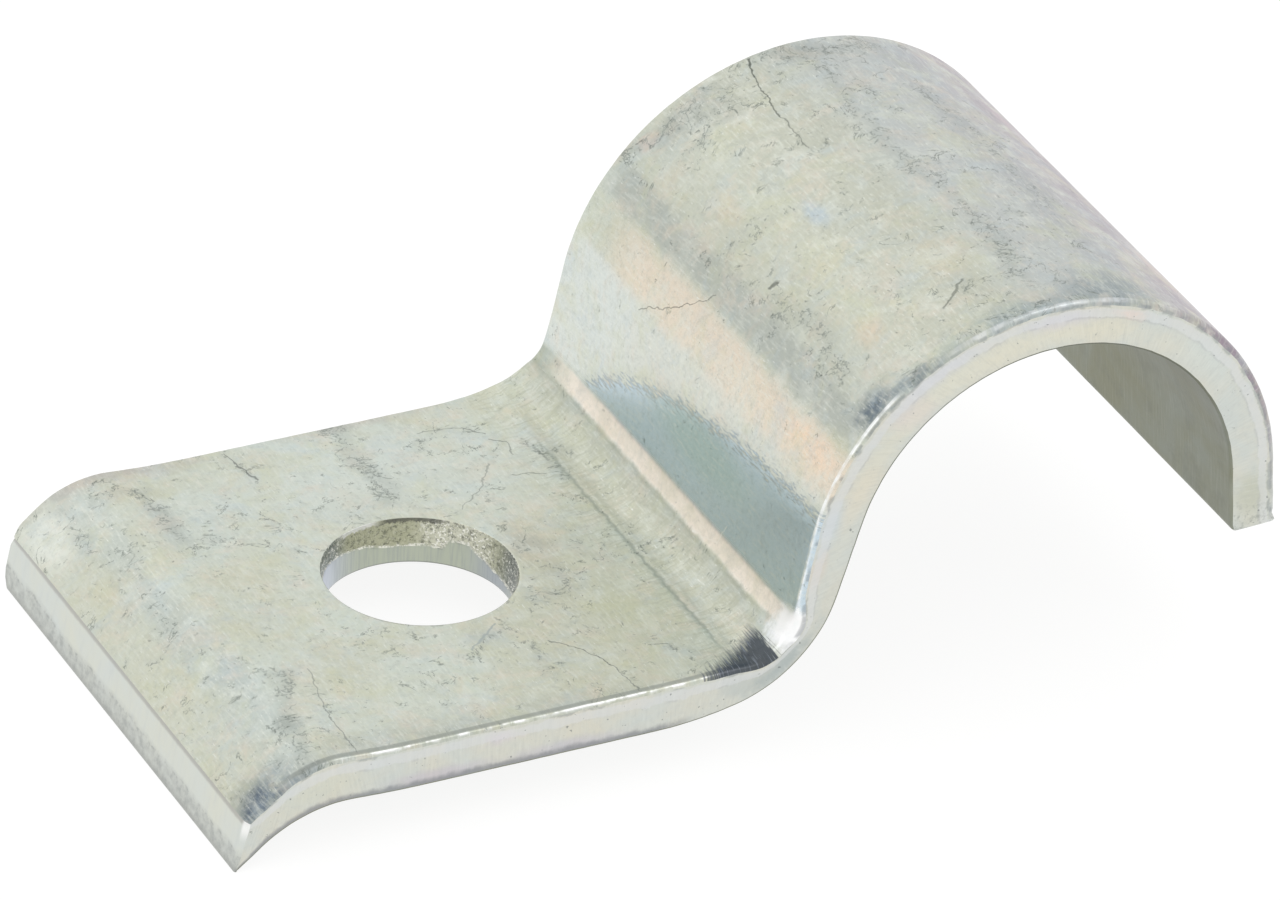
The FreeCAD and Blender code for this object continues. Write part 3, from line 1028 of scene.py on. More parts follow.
@dataclass(frozen=True)
class ZincFinish:
    """Steel sheet electroplated with zinc and clear passivated.

    The chromate film is a fraction of a micrometre thick, so it tints the metal pale blue, yellow green or
    pink where it is thinner or thicker. The plating is matt to satin, with a fine orange peel.
    """

    name: str = "zinc_clear_passivated"
    cool: str = "#CDD5CC"
    warm: str = "#C9CBB8"
    roughness: float = 0.34
    peel_size: float = 0.34  # width of one lump of the orange peel
    peel_height: float = 0.006
    stroke_height: float = 0.003

    def begin(self) -> tuple[bpy.types.Material, Tree, Socket, Socket]:
        """Make an empty material with object and strip coordinates in millimetres.

        Returns:
            The material, its tree, object coordinates and strip coordinates.
        """
        made = bpy.data.materials.new(self.name)
        made.use_nodes = True
        tree = made.node_tree
        tree.nodes.clear()
        metres = add(tree, "TexCoord", take=3)
        solid = add(tree, "VectorMath", {0: metres, "Scale": 1 / METRE}, operation="SCALE")
        strip = add(tree, "Attribute", take=1, attribute_name="strip", attribute_type="GEOMETRY")
        return made, tree, solid, strip

    def mottled(self, tree: Tree, solid: Socket) -> Socket:
        """Film colour that drifts between its cool and warm tint, over millimetres and tenths."""
        drift = ramp(tree, clouds(tree, solid, 3.2, 5.0, 0.62, 0.6), 0.36, 0.64)
        return blend(tree, drift, linear(self.cool), linear(self.warm))

    def surface(self, tree: Tree, solid: Socket, colour: object,
                roughness: object, extra_height: object = 0.0) -> None:
        """Join colour, roughness and the plating's fine relief to the metal shader.

        Args:
            tree: node tree.
            solid: object coordinates in millimetres.
            colour: base colour.
            roughness: roughness, a value or a socket.
            extra_height: more relief, in millimetres.
        """
        peel = clouds(tree, solid, self.peel_size, 3.0, 0.55)
        peel = times_plus(tree, peel, self.peel_height, extra_height)
        turned = aslant(tree, solid, (0.09, 0.5, 0.3), 32)
        stroke = clouds(tree, turned, 1.0, 2.0)
        height = times_plus(tree, stroke, self.stroke_height, peel)
        relief = add(tree, "Bump", {"Height": height, "Distance": METRE, "Strength": 1.0})
        metal = add(tree, "BsdfPrincipled", {"Base Color": colour, "Metallic": 1.0,
                                             "Roughness": roughness, "Normal": relief})
        add(tree, "OutputMaterial", {"Surface": metal})


@dataclass(frozen=True)
class RolledFace(ZincFinish):
    """The rolled upper face of the strip: handled, bent over the press tool and the most marked."""

    name: str = "zinc_electroplated_rolled_face"

    # Cross-bands of colour: from, to, softness, colour, strength, front end, rear end, end softness. Most are
    # film colour; the painted shade and painted reflections among them are marked.
    BANDS = (
        (-1.0, 1.7, 0.9, "#D0D1BF", 0.55, -9.0, 12.0, 2.0),
        # Painted shade on the heel's bend, laid against the rear softbox's highlight there.
        (1.9, 3.4, 0.9, "#B4BCB9", 0.55, -11.0, 11.0, 2.0),
        (12.0, 20.0, 5.0, "#C5C6B2", 0.55, -11.0, -0.5, 5.0),
        (19.75, 21.4, 0.3, "#BEC0AE", 0.8, -9.0, 8.8, 2.0),
        # Painted shadow in the foot's crease.
        (21.38, 21.74, 0.35, "#AAADA0", 0.5, -8.0, 10.5, 3.0),
        (21.74, 22.52, 0.24, "#FFFAF3", 1.0, -9.4, 8.2, 3.0),
        (22.42, 22.68, 0.2, "#E6D3D2", 0.6, -7.5, 5.5, 3.0),
        (22.6, 27.2, 0.4, "#D4DAD5", 1.0, -11.0, 11.0, 1.0),
        (24.6, 27.4, 1.2, "#D6D6CA", 0.65, -9.0, 4.5, 4.0),
        # Painted reflections on the riser's top bend: the peach band of the horizon, then the blue-grey band
        # of a dark gap over it.
        (27.1, 28.9, 0.8, "#E2D6C4", 0.95, -13.0, 7.0, 4.0),
        (29.15, 30.5, 0.6, "#B4B9B1", 0.95, -9.6, 9.4, 2.0),
        (30.6, 37.2, 1.2, "#C6C8B9", 0.7, -11.0, 11.0, 1.0),
        # Painted shade on the saddle's top, laid against the rear softbox's highlight.
        (33.4, 36.9, 1.6, "#B6B8AB", 0.5, -11.0, 11.0, 1.0),
        # Painted reflection: the darker grey-blue of the saddle's far slope.
        (37.6, 43.6, 3.0, "#BFC3C2", 0.9, -11.0, 11.0, 1.0),
        (41.0, 43.2, 1.4, "#ABAEB1", 0.65, -11.0, 11.0, 1.0),
        (43.0, 52.5, 3.0, "#ABA4AD", 0.9, -11.0, 11.0, 1.0),
        (44.4, 50.5, 2.8, "#988A96", 0.8, -11.0, 11.0, 1.0),
        (51.0, 60.0, 6.0, "#B9BAB8", 0.75, -11.0, 11.0, 1.0),
    )
    # Places that differ from the film round them.
    TINTS = (
        Tint(12.0, 6.2, 9.0, 5.2, "#D2DBD7", 0.6, 1.0),
        Tint(4.5, 10.0, 5.0, 1.1, "#B3ABA6", 0.65),
        Tint(14.0, 10.0, 4.5, 0.7, "#B9B3AC", 0.5),
        Tint(8.0, -10.1, 12.0, 1.9, "#B2B6AC", 0.7),
        Tint(1.2, -9.3, 2.1, 1.5, "#7F8A92", 0.6),
        Tint(1.0, -9.8, 1.6, 0.9, "#45556A", 0.9),
        Tint(2.6, -10.0, 1.9, 0.5, "#7C868E", 0.7),
        Tint(1.0, 8.2, 1.6, 2.3, "#E8ECE3", 0.9),
        Tint(3.5, -7.2, 0.7, 0.8, "#8C9189", 0.6),
        Tint(4.9, 6.2, 0.8, 3.2, "#B4BAB4", 0.5),
        Tint(2.9, -3.0, 1.2, 5.6, "#AEB6B3", 0.55),
        Tint(12.2, -4.7, 1.3, 0.7, "#B7C1C2", 0.6),
        Tint(16.4, 0.0, 1.2, 2.6, "#B5AFA2", 0.45),
        Tint(17.6, -5.2, 1.6, 3.0, "#BDC0A4", 0.4),
        # Painted reflection: the peach band of the horizon, spread over the riser's front.
        Tint(28.2, -7.8, 0.9, 2.6, "#F2D8BE", 0.8),
        Tint(27.8, -3.6, 1.0, 2.6, "#E6D9C4", 0.5),
        Tint(31.5, 9.2, 0.6, 0.6, "#EACDB8", 0.8),
        Tint(34.4, 7.2, 0.9, 1.2, "#B4B7AD", 0.5),
        Tint(32.4, -9.8, 2.0, 0.5, "#5F6D78", 0.7),
        Tint(32.6, -6.4, 0.8, 1.2, "#D9C8B0", 0.6),
        Tint(31.9, 3.6, 0.9, 1.6, "#D7CBB6", 0.55),
        Tint(34.1, 0.4, 0.5, 1.5, "#B4C2CC", 0.7),
        Tint(32.5, 3.4, 0.5, 1.0, "#BCC8CC", 0.5),
        Tint(36.4, -5.0, 1.5, 2.2, "#CDC8B6", 0.5),
        Tint(33.4, 8.7, 2.4, 1.5, "#A4A8A1", 0.7),
        Tint(37.8, 9.3, 1.6, 1.0, "#A0A5A0", 0.6),
        Tint(45.6, -6.0, 1.2, 4.0, "#C6B3B0", 0.7),
        Tint(45.3, 5.5, 1.0, 3.4, "#C2ADB6", 0.6),
        Tint(36.5, -9.9, 5.5, 1.3, "#9DAAAE", 0.75),
        Tint(40.9, -9.2, 2.7, 1.9, "#8B979B", 0.8),
        Tint(30.7, -9.4, 1.5, 1.1, "#566779", 0.85),
        # Painted highlight: the white glint on the foot's front corner.
        Tint(22.0, -9.6, 1.2, 1.1, "#FFFFFF", 1.0, 0.4),
    )
    # Fine cracks and scratches: start, end, width, colour, strength.
    LINES = (
        ((26.85, 4.6), (27.7, 3.0), 0.04, "#5A5C56", 0.6),
        ((27.7, 3.0), (28.6, 1.8), 0.04, "#555750", 0.7),
        ((28.6, 1.8), (29.4, 0.95), 0.035, "#5A5C56", 0.6),
        ((36.3, 9.8), (35.95, 8.7), 0.07, "#5A5F58", 0.85),
        ((35.95, 8.7), (35.65, 6.0), 0.06, "#5A5F58", 0.7),
        ((35.65, 6.0), (35.55, 3.6), 0.05, "#6A6F68", 0.6),
        ((8.8, 9.7), (9.0, 8.3), 0.06, "#6E726E", 0.7),
        ((9.0, 8.3), (9.2, 7.7), 0.07, "#6E726E", 0.7),
        ((15.9, 8.5), (17.6, 8.2), 0.05, "#858A84", 0.6),
        ((17.6, 8.2), (18.1, 7.4), 0.06, "#7A7F79", 0.7),
        ((18.1, 7.1), (18.6, 6.6), 0.05, "#7A7F79", 0.7),
        ((18.6, 6.6), (18.5, 5.8), 0.05, "#7A7F79", 0.6),
        ((17.9, 4.6), (19.0, 4.1), 0.05, "#80857E", 0.7),
        ((15.2, 3.2), (16.4, 4.2), 0.05, "#8A8F88", 0.6),
        ((16.4, 4.2), (17.4, 5.6), 0.05, "#8A8F88", 0.55),
        ((11.5, -5.3), (13.0, -4.1), 0.10, "#98A3A4", 0.6),
        ((14.2, -5.7), (15.2, -6.8), 0.05, "#70756F", 0.75),
        ((15.2, -6.8), (15.65, -8.0), 0.05, "#70756F", 0.75),
        ((15.65, -8.0), (15.85, -9.8), 0.045, "#7C817B", 0.7),
        ((5.6, -4.3), (5.0, -7.0), 0.05, "#878C86", 0.6),
        ((5.0, -7.0), (4.9, -9.8), 0.05, "#80857F", 0.65),
        ((21.75, -2.6), (22.1, -4.1), 0.07, "#F6F4EE", 0.9),
        ((22.1, -4.1), (23.0, -4.45), 0.05, "#F1F2EC", 0.8),
        ((31.0, -1.1), (31.4, -1.15), 0.16, "#5E625B", 0.7),
        ((35.1, -7.7), (36.3, -6.8), 0.10, "#62675F", 0.6),
        ((19.35, 5.9), (19.45, 4.9), 0.12, "#5C615A", 0.3),
    )
    # Runs of scribbles, where handling and bending opened the film: points (s, y), half width, density.
    CHAINS = (
        (((2.0, 9.4), (1.9, 6.4)), 0.35, 0.8),
        (((3.2, 8.4), (5.0, 8.5), (5.0, 6.2), (4.9, 4.9), (6.0, 4.6)), 0.45, 1.0),
        (((2.8, 5.4), (2.4, 1.2), (2.2, -0.4)), 0.45, 0.75),
        (((8.8, 9.7), (9.1, 7.8)), 0.35, 0.7),
        (((13.3, 9.9), (13.1, 7.8), (13.4, 5.6), (12.9, 4.8)), 0.55, 1.1),
        (((13.4, 5.6), (13.7, 3.9)), 0.35, 0.6),
        (((15.4, 7.4), (16.5, 8.5), (18.0, 7.6), (18.6, 6.4), (16.6, 5.4)), 0.4, 0.6),
        (((16.2, 0.3), (17.9, -0.4), (18.3, -1.6)), 0.5, 0.8),
        (((16.7, -1.6), (16.2, -3.5), (15.0, -3.0)), 0.5, 0.8),
        (((4.6, -4.3), (3.6, -6.5), (3.4, -7.6), (3.1, -9.6)), 0.55, 1.2),
        (((5.3, -5.0), (4.9, -9.8)), 0.35, 0.5),
        (((13.6, -5.9), (13.5, -7.9)), 0.45, 0.9),
        (((11.0, -5.6), (13.3, -4.0)), 0.35, 0.6),
        (((7.0, 4.0), (8.6, 3.2)), 0.5, 0.5),
        (((0.9, -0.2), (1.6, -0.6)), 0.3, 0.7),
        (((9.0, -7.2), (11.5, -6.6)), 0.6, 0.4),
        (((17.4, -6.5), (18.8, -9.0)), 0.6, 0.6),
        (((19.4, 6.4), (19.5, 3.6)), 0.3, 0.9),
        (((19.9, 5.4), (20.2, 4.8)), 0.3, 0.8),
        (((30.8, 9.6), (32.2, 8.8), (34.2, 9.3)), 0.5, 1.1),
        (((32.3, 7.4), (34.0, 7.3)), 0.25, 1.2),
        (((33.4, 8.6), (35.6, 7.6)), 0.8, 0.7),
        (((30.6, -1.6), (31.4, -4.2), (30.8, -7.0)), 0.6, 0.9),
        (((31.0, 2.0), (33.4, 1.4)), 0.7, 0.6),
        (((34.8, -0.6), (35.8, -3.8)), 0.7, 0.5),
        (((35.0, -7.8), (36.3, -6.8)), 0.4, 0.7),
        (((36.8, 9.7), (38.8, 8.9), (40.6, 9.2)), 0.8, 1.1),
        (((38.3, 8.0), (38.1, 4.0), (38.1, 1.0), (38.5, -1.4)), 0.4, 1.0),
        (((39.2, 6.6), (39.4, 4.2)), 0.4, 0.9),
        (((38.6, -2.0), (38.6, -5.2), (38.1, -7.6)), 0.5, 1.0),
        (((39.9, -3.6), (40.3, -3.8)), 0.3, 1.0),
        (((41.6, 5.8), (41.9, 1.0), (42.2, -3.0)), 0.6, 0.8),
        (((36.2, -9.8), (40.0, -9.6)), 0.5, 0.7),
        (((46.0, 7.0), (47.5, -1.0), (46.6, -8.0)), 0.9, 0.5),
        (((50.0, 8.5), (50.6, -2.0), (49.8, -9.0)), 1.2, 0.5),
    )

    # Fine lines along the front edge, the lowest first: start, end and softness along the strip and across
    # it, what breaks them up, colour and strength. The grey line is painted shade on the roll's upper half,
    # the white lines painted highlights on its beads, and the last a thin dark line along the edge.
    EDGE_LINES = (
        ((2.0, 20.0, 1.0), (-9.91, -9.72, 0.08), None, "#8B908B", 0.6),
        ((3.4, 19.6, 1.0), (-9.98, -9.92, 0.05), "beads", "#FBFCFB", 0.9),
        ((22.0, 31.6, 0.8), (-9.94, -9.82, 0.07), "soft beads", "#F8FAF9", 0.9),
        ((34.0, 41.5, 1.5), (-9.98, -9.84, 0.08), "soft beads", "#EEF0F2", 0.5),
        ((21.5, 60.0, 1.0), (-10.2, -9.97, 0.04), "beads", "#868C90", 0.5),
    )

    # The lens on the riser, a painted reflection over the real one: where it starts, where it ends at the
    # front edge, how it draws in with the square of the way to the rear, how far its tip lies from the front
    # edge and how far the tip hooks back.
    LENS_START = (22.42, 22.72)
    LENS_END = 26.4
    LENS_BOW = -0.0105
    LENS_TIP = 16.2
    LENS_HOOK = -0.75

    @classmethod
    def crowding(cls, strip: np.ndarray) -> np.ndarray:
        """How thickly scribbles crowd at each place on the strip.

        Args:
            strip: strip coordinates, one row per vertex.

        Returns:
            One value per vertex, from 0 up to about 1.
        """
        spots = strip[:, :2]
        spots = spots + 0.45 * np.stack([grain(spots, 1.1, 4.0), grain(spots, 1.1, 8.0)], axis=-1)
        thick = 0.42 * np.clip(grain(spots, 3.4, 1.0) + 0.55, 0, 1)
        for points, reach, density in cls.CHAINS:
            for start, end in zip(points, points[1:]):
                run = np.subtract(end, start)
                share = np.clip((spots - start) @ run / (run @ run), 0, 1)
                away = np.linalg.norm(spots - start - share[:, None] * run, axis=1)
                thick = np.maximum(thick, density * np.exp(-(away / reach) ** 2))
        burnished = np.clip(spots[:, 0] - 21.0, 0, 1) * np.clip(30.2 - spots[:, 0], 0, 1)
        return thick * (1 - 0.85 * burnished)

    def material(self) -> bpy.types.Material:
        """Build the material of the rolled face."""
        made, tree, solid, strip = self.begin()
        wander = jitter(tree, solid, 1.2, 5.0, 0.65)
        ragged = vectors(tree, "MULTIPLY_ADD", wander, (0.75, 1.3, 0.0), strip)
        s, y, _ = axes(tree, ragged)
        # The foot's narrow bands follow the bend, so their borders are straighter.
        straight = vectors(tree, "MULTIPLY_ADD", wander, (0.22, 0.0, 0.0), strip)
        straight, _, _ = axes(tree, straight)

        layers = []
        for start, end, soft, shade, strength, front, rear, fade in self.BANDS:
            mask = band(tree, straight if soft < 0.45 else s, start, end, soft)
            if front > -10.5 or rear < 10.5:
                mask = times(tree, mask, band(tree, y, front, rear, fade))
            layers.append((mask, shade, strength))
        for tint in self.TINTS:
            mask = patch(tree, ragged, (tint.s, tint.y), (tint.along, tint.across), tint.soft)
            layers.append((mask, tint.shade, tint.strength))
        layers.extend(self.hues(tree, solid))
        # Painted reflection: the lens's bluish tint, its greener middle and its darker frayed border.
        lens, middle, fringe = self.mirror(tree, strip)
        layers += [(lens, "#C4D5E0", 0.9), (fringe, "#8E979B", 0.55), (middle, "#B4C9BF", 0.5)]
        layers.extend(self.marks(tree, solid, strip))
        cream = area(tree, straight, y, (21.82, 22.46, 0.2), (-9.2, 7.8, 3.0))
        layers += [
            (cream, "#F6ECDF", 0.5),
            # Painted highlight: the white glint on the foot's front corner, laid again over the marks.
            (patch(tree, strip, (22.0, -9.7), (0.9, 0.8), 0.5), "#FFFFFF", 0.8),
        ]
        layers.extend(self.edge_marks(tree, solid, strip))
        colour = layered(tree, self.mottled(tree, solid), layers)
        polished = band(tree, s, 21.8, 29.4, 1.2)
        rough = ramp(tree, polished, 0.0, 1.0, self.roughness, 0.26)
        scuffed = band(tree, straight, 21.6, 22.5, 0.3)
        rough = times_plus(tree, scuffed, 0.42, rough)
        self.surface(tree, solid, colour, rough)
        return made

    def hues(self, tree: Tree, solid: Socket) -> list[tuple]:
        """Ragged pastel patches, where the film is a little thinner or thicker, a millimetre or two wide."""
        layers = []
        for shift, size, shade, strength in (
            (3.0, 1.7, "#BECBD0", 0.38), (11.0, 1.4, "#DCD0BF", 0.42), (19.0, 2.0, "#CBCDAE", 0.40),
            (27.0, 1.2, "#D9DDD4", 0.45),
        ):
            moved = vectors(tree, "ADD", solid, (shift, shift, shift))
            cloud = ramp(tree, clouds(tree, moved, size, 6.0, 0.7, 0.4), 0.50, 0.66)
            layers.append((cloud, shade, strength))
        return layers

    def mirror(self, tree: Tree, strip: Socket) -> tuple[Socket, ...]:
        """Masks of the painted reflection on the riser, a lens wide at the front and drawn out to a tip at
        the rear.

        Args:
            tree: node tree.
            strip: strip coordinates.

        Returns:
            The whole lens, its greener middle and its darker frayed border.
        """
        turned = aslant(tree, strip, (0.10, 0.55, 0.0), -35)
        frayed = clouds(tree, turned, 1.0, 4.0, 0.6)
        frayed = maths(tree, "SUBTRACT", frayed, 0.5)
        s, y, _ = axes(tree, strip)
        forward = maths(tree, "ADD", y, StrapSheet.width / 2)
        bow = maths(tree, "POWER", forward, 2.0)
        edge = times_plus(tree, bow, self.LENS_BOW, self.LENS_END)
        hook = maths(tree, "POWER", times(tree, forward, 1 / self.LENS_TIP), 8.0)
        edge = times_plus(tree, hook, self.LENS_HOOK, edge)
        gap = maths(tree, "SUBTRACT", edge, s)
        gap = times_plus(tree, frayed, 2.4, gap)
        inside = ramp(tree, gap, -0.22, 0.30, smooth=True)
        after = ramp(tree, s, *self.LENS_START, smooth=True)
        lens = times(tree, inside, after)
        middle = patch(tree, strip, (24.6, -1.6), (1.5, 5.5), 0.8)
        rest = maths(tree, "SUBTRACT", 1.0, inside)
        fringe = times(tree, lens, rest)
        fringe = maths(tree, "MULTIPLY", fringe, 4.0, clamp=True)
        return lens, times(tree, lens, middle), fringe

    def marks(self, tree: Tree, solid: Socket, strip: Socket) -> list[tuple]:
        """Scribbles, specks and the few long cracks of the film.

        Args:
            tree: node tree.
            solid: object coordinates in millimetres.
            strip: strip coordinates.

        Returns:
            Layers for the colour.
        """
        shake = jitter(tree, solid, 0.45, 3.0)
        shaken = vectors(tree, "MULTIPLY_ADD", shake, (0.4, 0.4, 0.0), strip)
        crowd = add(tree, "Attribute", take=2, attribute_name="crowding", attribute_type="GEOMETRY")
        layers = []

        # Fine mottle of the plating: dark lumps of a quarter of a millimetre, and pale slanting strokes.
        mottle = ramp(tree, clouds(tree, solid, 0.28, 5.0, 0.75), 0.48, 0.72)
        layers.append((mottle, "#9DA39B", 0.34))
        turned = aslant(tree, strip, (0.11, 0.6, 0.0), 38)
        stroke = ramp(tree, clouds(tree, turned, 1.0, 4.0, 0.6), 0.50, 0.72)
        layers.append((stroke, "#E2E5DC", 0.42))

        # The press line before the foot, and the ripples that the bend left along the strip behind it.
        s, y, _ = axes(tree, shaken)
        line = area(tree, s, y, (19.60, 19.72, 0.16), (-8.4, 6.2, 2.6))
        layers.append((line, "#879086", 0.6))
        rolled = aslant(tree, shaken, (0.9, 0.13, 0.0))
        ripple = ramp(tree, clouds(tree, rolled, 1.0, 3.0), 0.48, 0.66)
        ripple = times(tree, ripple, band(tree, s, 18.6, 21.4, 1.2))
        layers.append((ripple, "#A9AC99", 0.4))

        # Dark scribbles: long ones on a noise's contour lines, short hooks on a bent network of cracks.
        lines = clouds(tree, solid, 1.4, 6.0, 0.62, 0.7)
        contour = maths(tree, "SUBTRACT", lines, 0.5)
        contour = maths(tree, "ABSOLUTE", contour)
        contour = ramp(tree, contour, 0.003, 0.014, 1.0, 0.0)
        bent = vectors(tree, "MULTIPLY_ADD", shake, (0.9, 0.9, 0.9), solid)
        hooks = add(tree, "TexVoronoi", {"Vector": bent, "Scale": 1 / 0.62}, feature="DISTANCE_TO_EDGE")
        hooks = ramp(tree, hooks, 0.015, 0.06, 1.0, 0.0)
        for pattern, size, least, most, shade, strength in (
            (contour, 0.7, 0.60, 0.35, "#6D746D", 0.72), (hooks, 0.42, 0.69, 0.43, "#6D746F", 0.6),
        ):
            broken = clouds(tree, solid, size, 3.0, 0.6)
            level = ramp(tree, crowd, 0.0, 1.0, least, most)
            broken = over(tree, broken, level, 0.09)
            layers.append((times(tree, pattern, broken), shade, strength))
        layers.append((ramp(tree, crowd, 0.3, 1.2), "#A3AAA5", 0.36))
        specks = clouds(tree, solid, 0.17, 2.0)
        level = ramp(tree, crowd, 0.0, 1.1, 0.75, 0.64)
        specks = over(tree, specks, level, 0.05)
        layers.append((specks, "#59605B", 0.55))

        # Pale flecks, drawn out aslant, that show best on the burnished riser.
        fleck = ramp(tree, clouds(tree, turned, 1 / 1.7, 1.0), 0.68, 0.76)
        layers.append((fleck, "#E8EBE6", 0.5))

        for start, end, width, shade, strength in self.LINES:
            layers.append((hairline(tree, shaken, start, end, width), shade, strength))
        return layers

    def edge_marks(self, tree: Tree, solid: Socket, strip: Socket) -> list[tuple]:
        """The front edge: painted highlights on its beads, painted shade and a thin dark line beside them,
        and a painted dark reflection in the foot's hollow.

        Args:
            tree: node tree.
            solid: object coordinates in millimetres.
            strip: strip coordinates.

        Returns:
            Layers for the colour.
        """
        s, y, _ = axes(tree, strip)
        bead = ramp(tree, clouds(tree, solid, 0.55, 2.0), 0.44, 0.56)
        beading = {"beads": bead, "soft beads": times_plus(tree, bead, 0.55, 0.45)}
        layers = []
        for along, across, kind, shade, strength in self.EDGE_LINES:
            line = area(tree, s, y, along, across)
            if kind:
                line = times(tree, line, beading[kind])
            layers.append((line, shade, strength))

        # A painted dark reflection in the hollow that the foot's bend pressed into the front edge: a wedge
        # crossed by sharp scratches.
        foot_dark_reflection = vectors(tree, "DOT_PRODUCT", strip, (0.50, -0.87, 0.0), take=1)
        turned = aslant(tree, strip, (0.06, 0.7, 0.0), -42)
        scratch = clouds(tree, turned, 1.0, 3.0)
        foot_dark_reflection = times_plus(tree, scratch, 1.3, foot_dark_reflection)
        foot_dark_reflection = ramp(tree, foot_dark_reflection, 18.15, 18.75)
        frayed = times_plus(tree, scratch, 0.8, s)
        foot_dark_reflection = times(tree, foot_dark_reflection, band(tree, frayed, 18.7, 21.45, 0.2))
        pale = ramp(tree, scratch, 0.56, 0.66)
        pale = times(tree, pale, foot_dark_reflection)
        return layers + [(foot_dark_reflection, "#3C434F", 0.9), (pale, "#8A929C", 0.6)]


@dataclass(frozen=True)
class InnerFace(ZincFinish):
    """The underside and the inside of the saddle, where the bath's current was weaker and the zinc duller,
    and painted darker still as shade.
    """

    name: str = "zinc_electroplated_inner_face"
    cool: str = "#8E9287"
    warm: str = "#898A77"
    roughness: float = 0.42

    def material(self) -> bpy.types.Material:
        """Build the material of the inner face."""
        made, tree, solid, strip = self.begin()
        patchy = ramp(tree, clouds(tree, solid, 1.5, 6.0, 0.7), 0.5, 0.66)
        rub = aslant(tree, strip, (1.6, 0.1, 0.0))
        rub = ramp(tree, clouds(tree, rub, 1.0, 3.0), 0.5, 0.72)
        _, across, height = axes(tree, solid)
        # Painted shade: darker high inside the saddle.
        saddle_shade = ramp(tree, height, 5.5, 10.5)
        rear = ramp(tree, across, 2.0, 10.0)
        colour = layered(tree, self.mottled(tree, solid), [
            (patchy, "#777A70", 0.4),
            (rub, "#AEB0A6", 0.22),
            (saddle_shade, "#5F6257", 0.6),
            (rear, "#70756A", 0.45),
        ])
        self.surface(tree, solid, colour, self.roughness)
        return made


@dataclass(frozen=True)
class ShearedEdge(ZincFinish):
    """The sheared sides: fine upright strokes from the blade, and a line where the shear gave way."""

    name: str = "zinc_electroplated_sheared_edge"
    cool: str = "#CDD2CD"
    warm: str = "#D5D3C6"
    roughness: float = 0.38

    # Tints along the side: s, half length, depth from the lower edge, half depth, colour, strength. Most are
    # film tints; the first two, darker blue-grey at the foot, are painted shade.
    TINTS = (
        (21.0, 1.5, 0.4, 0.75, "#AEB7B6", 0.85), (19.6, 0.8, 0.6, 0.5, "#B9C0BE", 0.5),
        (26.0, 1.6, 0.8, 0.5, "#C9D3D9", 0.6), (31.3, 1.5, 0.4, 0.5, "#D6CACF", 0.6),
        (24.2, 1.1, 0.8, 0.35, "#DCCFC2", 0.5), (27.2, 2.4, 0.35, 0.4, "#DCD4C4", 0.5),
        (38.5, 2.2, 0.7, 0.35, "#CDCCD8", 0.6), (41.6, 1.0, 0.8, 0.2, "#E4CDBB", 0.8),
        (33.0, 3.0, 0.8, 0.3, "#CFCFD8", 0.5), (8.0, 3.0, 0.15, 0.3, "#C3BCC6", 0.6),
        (13.0, 3.5, 0.12, 0.3, "#C2BFC8", 0.6), (3.4, 2.6, 0.5, 0.5, "#D2D3C2", 0.5),
        (10.4, 1.0, 0.75, 0.25, "#D6CDD2", 0.6), (46.0, 3.0, 0.5, 0.6, "#CFD8D6", 0.6),
        (53.8, 1.6, 0.5, 0.8, "#C2C4B4", 0.8), (35.0, 14.0, 0.35, 0.5, "#E0DCC8", 0.55),
    )

    def material(self) -> bpy.types.Material:
        """Build the material of the sheared edges."""
        made, tree, solid, strip = self.begin()
        wander = jitter(tree, solid, 0.7, 5.0, 0.7)
        ragged = vectors(tree, "MULTIPLY_ADD", wander, (1.6, 0.0, 0.26), strip)
        s, _, depth = axes(tree, ragged)
        side = add(tree, "CombineXYZ", {0: s, 1: depth})

        layers = []
        for place, along, level, across, shade, strength in self.TINTS:
            layers.append((patch(tree, side, (place, level), (along, across), 0.85), shade, strength))

        # Upright strokes of the blade, a tenth of a millimetre apart and half the sheet long.
        upright = vectors(tree, "MULTIPLY", strip, (1 / 0.10, 0.0, 1 / 0.55))
        upright = clouds(tree, upright, 1.0, 4.0, 0.6)
        dark = ramp(tree, upright, 0.50, 0.74)
        pale = ramp(tree, upright, 0.46, 0.28)
        layers += [(dark, "#ACB0AD", 0.22), (pale, "#E6E8E2", 0.22)]
        mottle = ramp(tree, clouds(tree, solid, 0.25, 4.0, 0.7), 0.5, 0.75)
        layers.append((mottle, "#B2B6B3", 0.28))

        # The line where the shear gave way, broken and specked, and the dark thin lower edge.
        layers.append((band(tree, depth, 0.70, 0.93, 0.06), "#DBDDE0", 0.4))
        thin = band(tree, depth, 0.66, 0.70, 0.07)
        breaks = clouds(tree, solid, 1.1, 4.0)
        later = ramp(tree, s, 4.0, 40.0, 0.56, 0.46)
        breaks = over(tree, breaks, later, 0.06)
        layers.append((times(tree, thin, breaks), "#A8ABB0", 0.35))
        specks = ramp(tree, clouds(tree, solid, 0.18, 2.0), 0.71, 0.76)
        layers.append((specks, "#747A78", 0.7))
        early = area(tree, depth, s, (-1.0, 0.10, 0.16), (-2.0, 17.5, 2.0))
        layers.append((early, "#85878C", 0.75))
        above = times(tree, band(tree, depth, 0.955, 2.0, 0.06), breaks)
        layers.append((above, "#8F9698", 0.5))
        tail = ramp(tree, s, 53.9, 54.9)
        layers.append((times(tree, tail, mottle), "#7F847C", 0.7))
        colour = layered(tree, self.mottled(tree, solid), layers)
        height = times(tree, upright, 0.008)
        self.surface(tree, solid, colour, self.roughness, height)
        return made


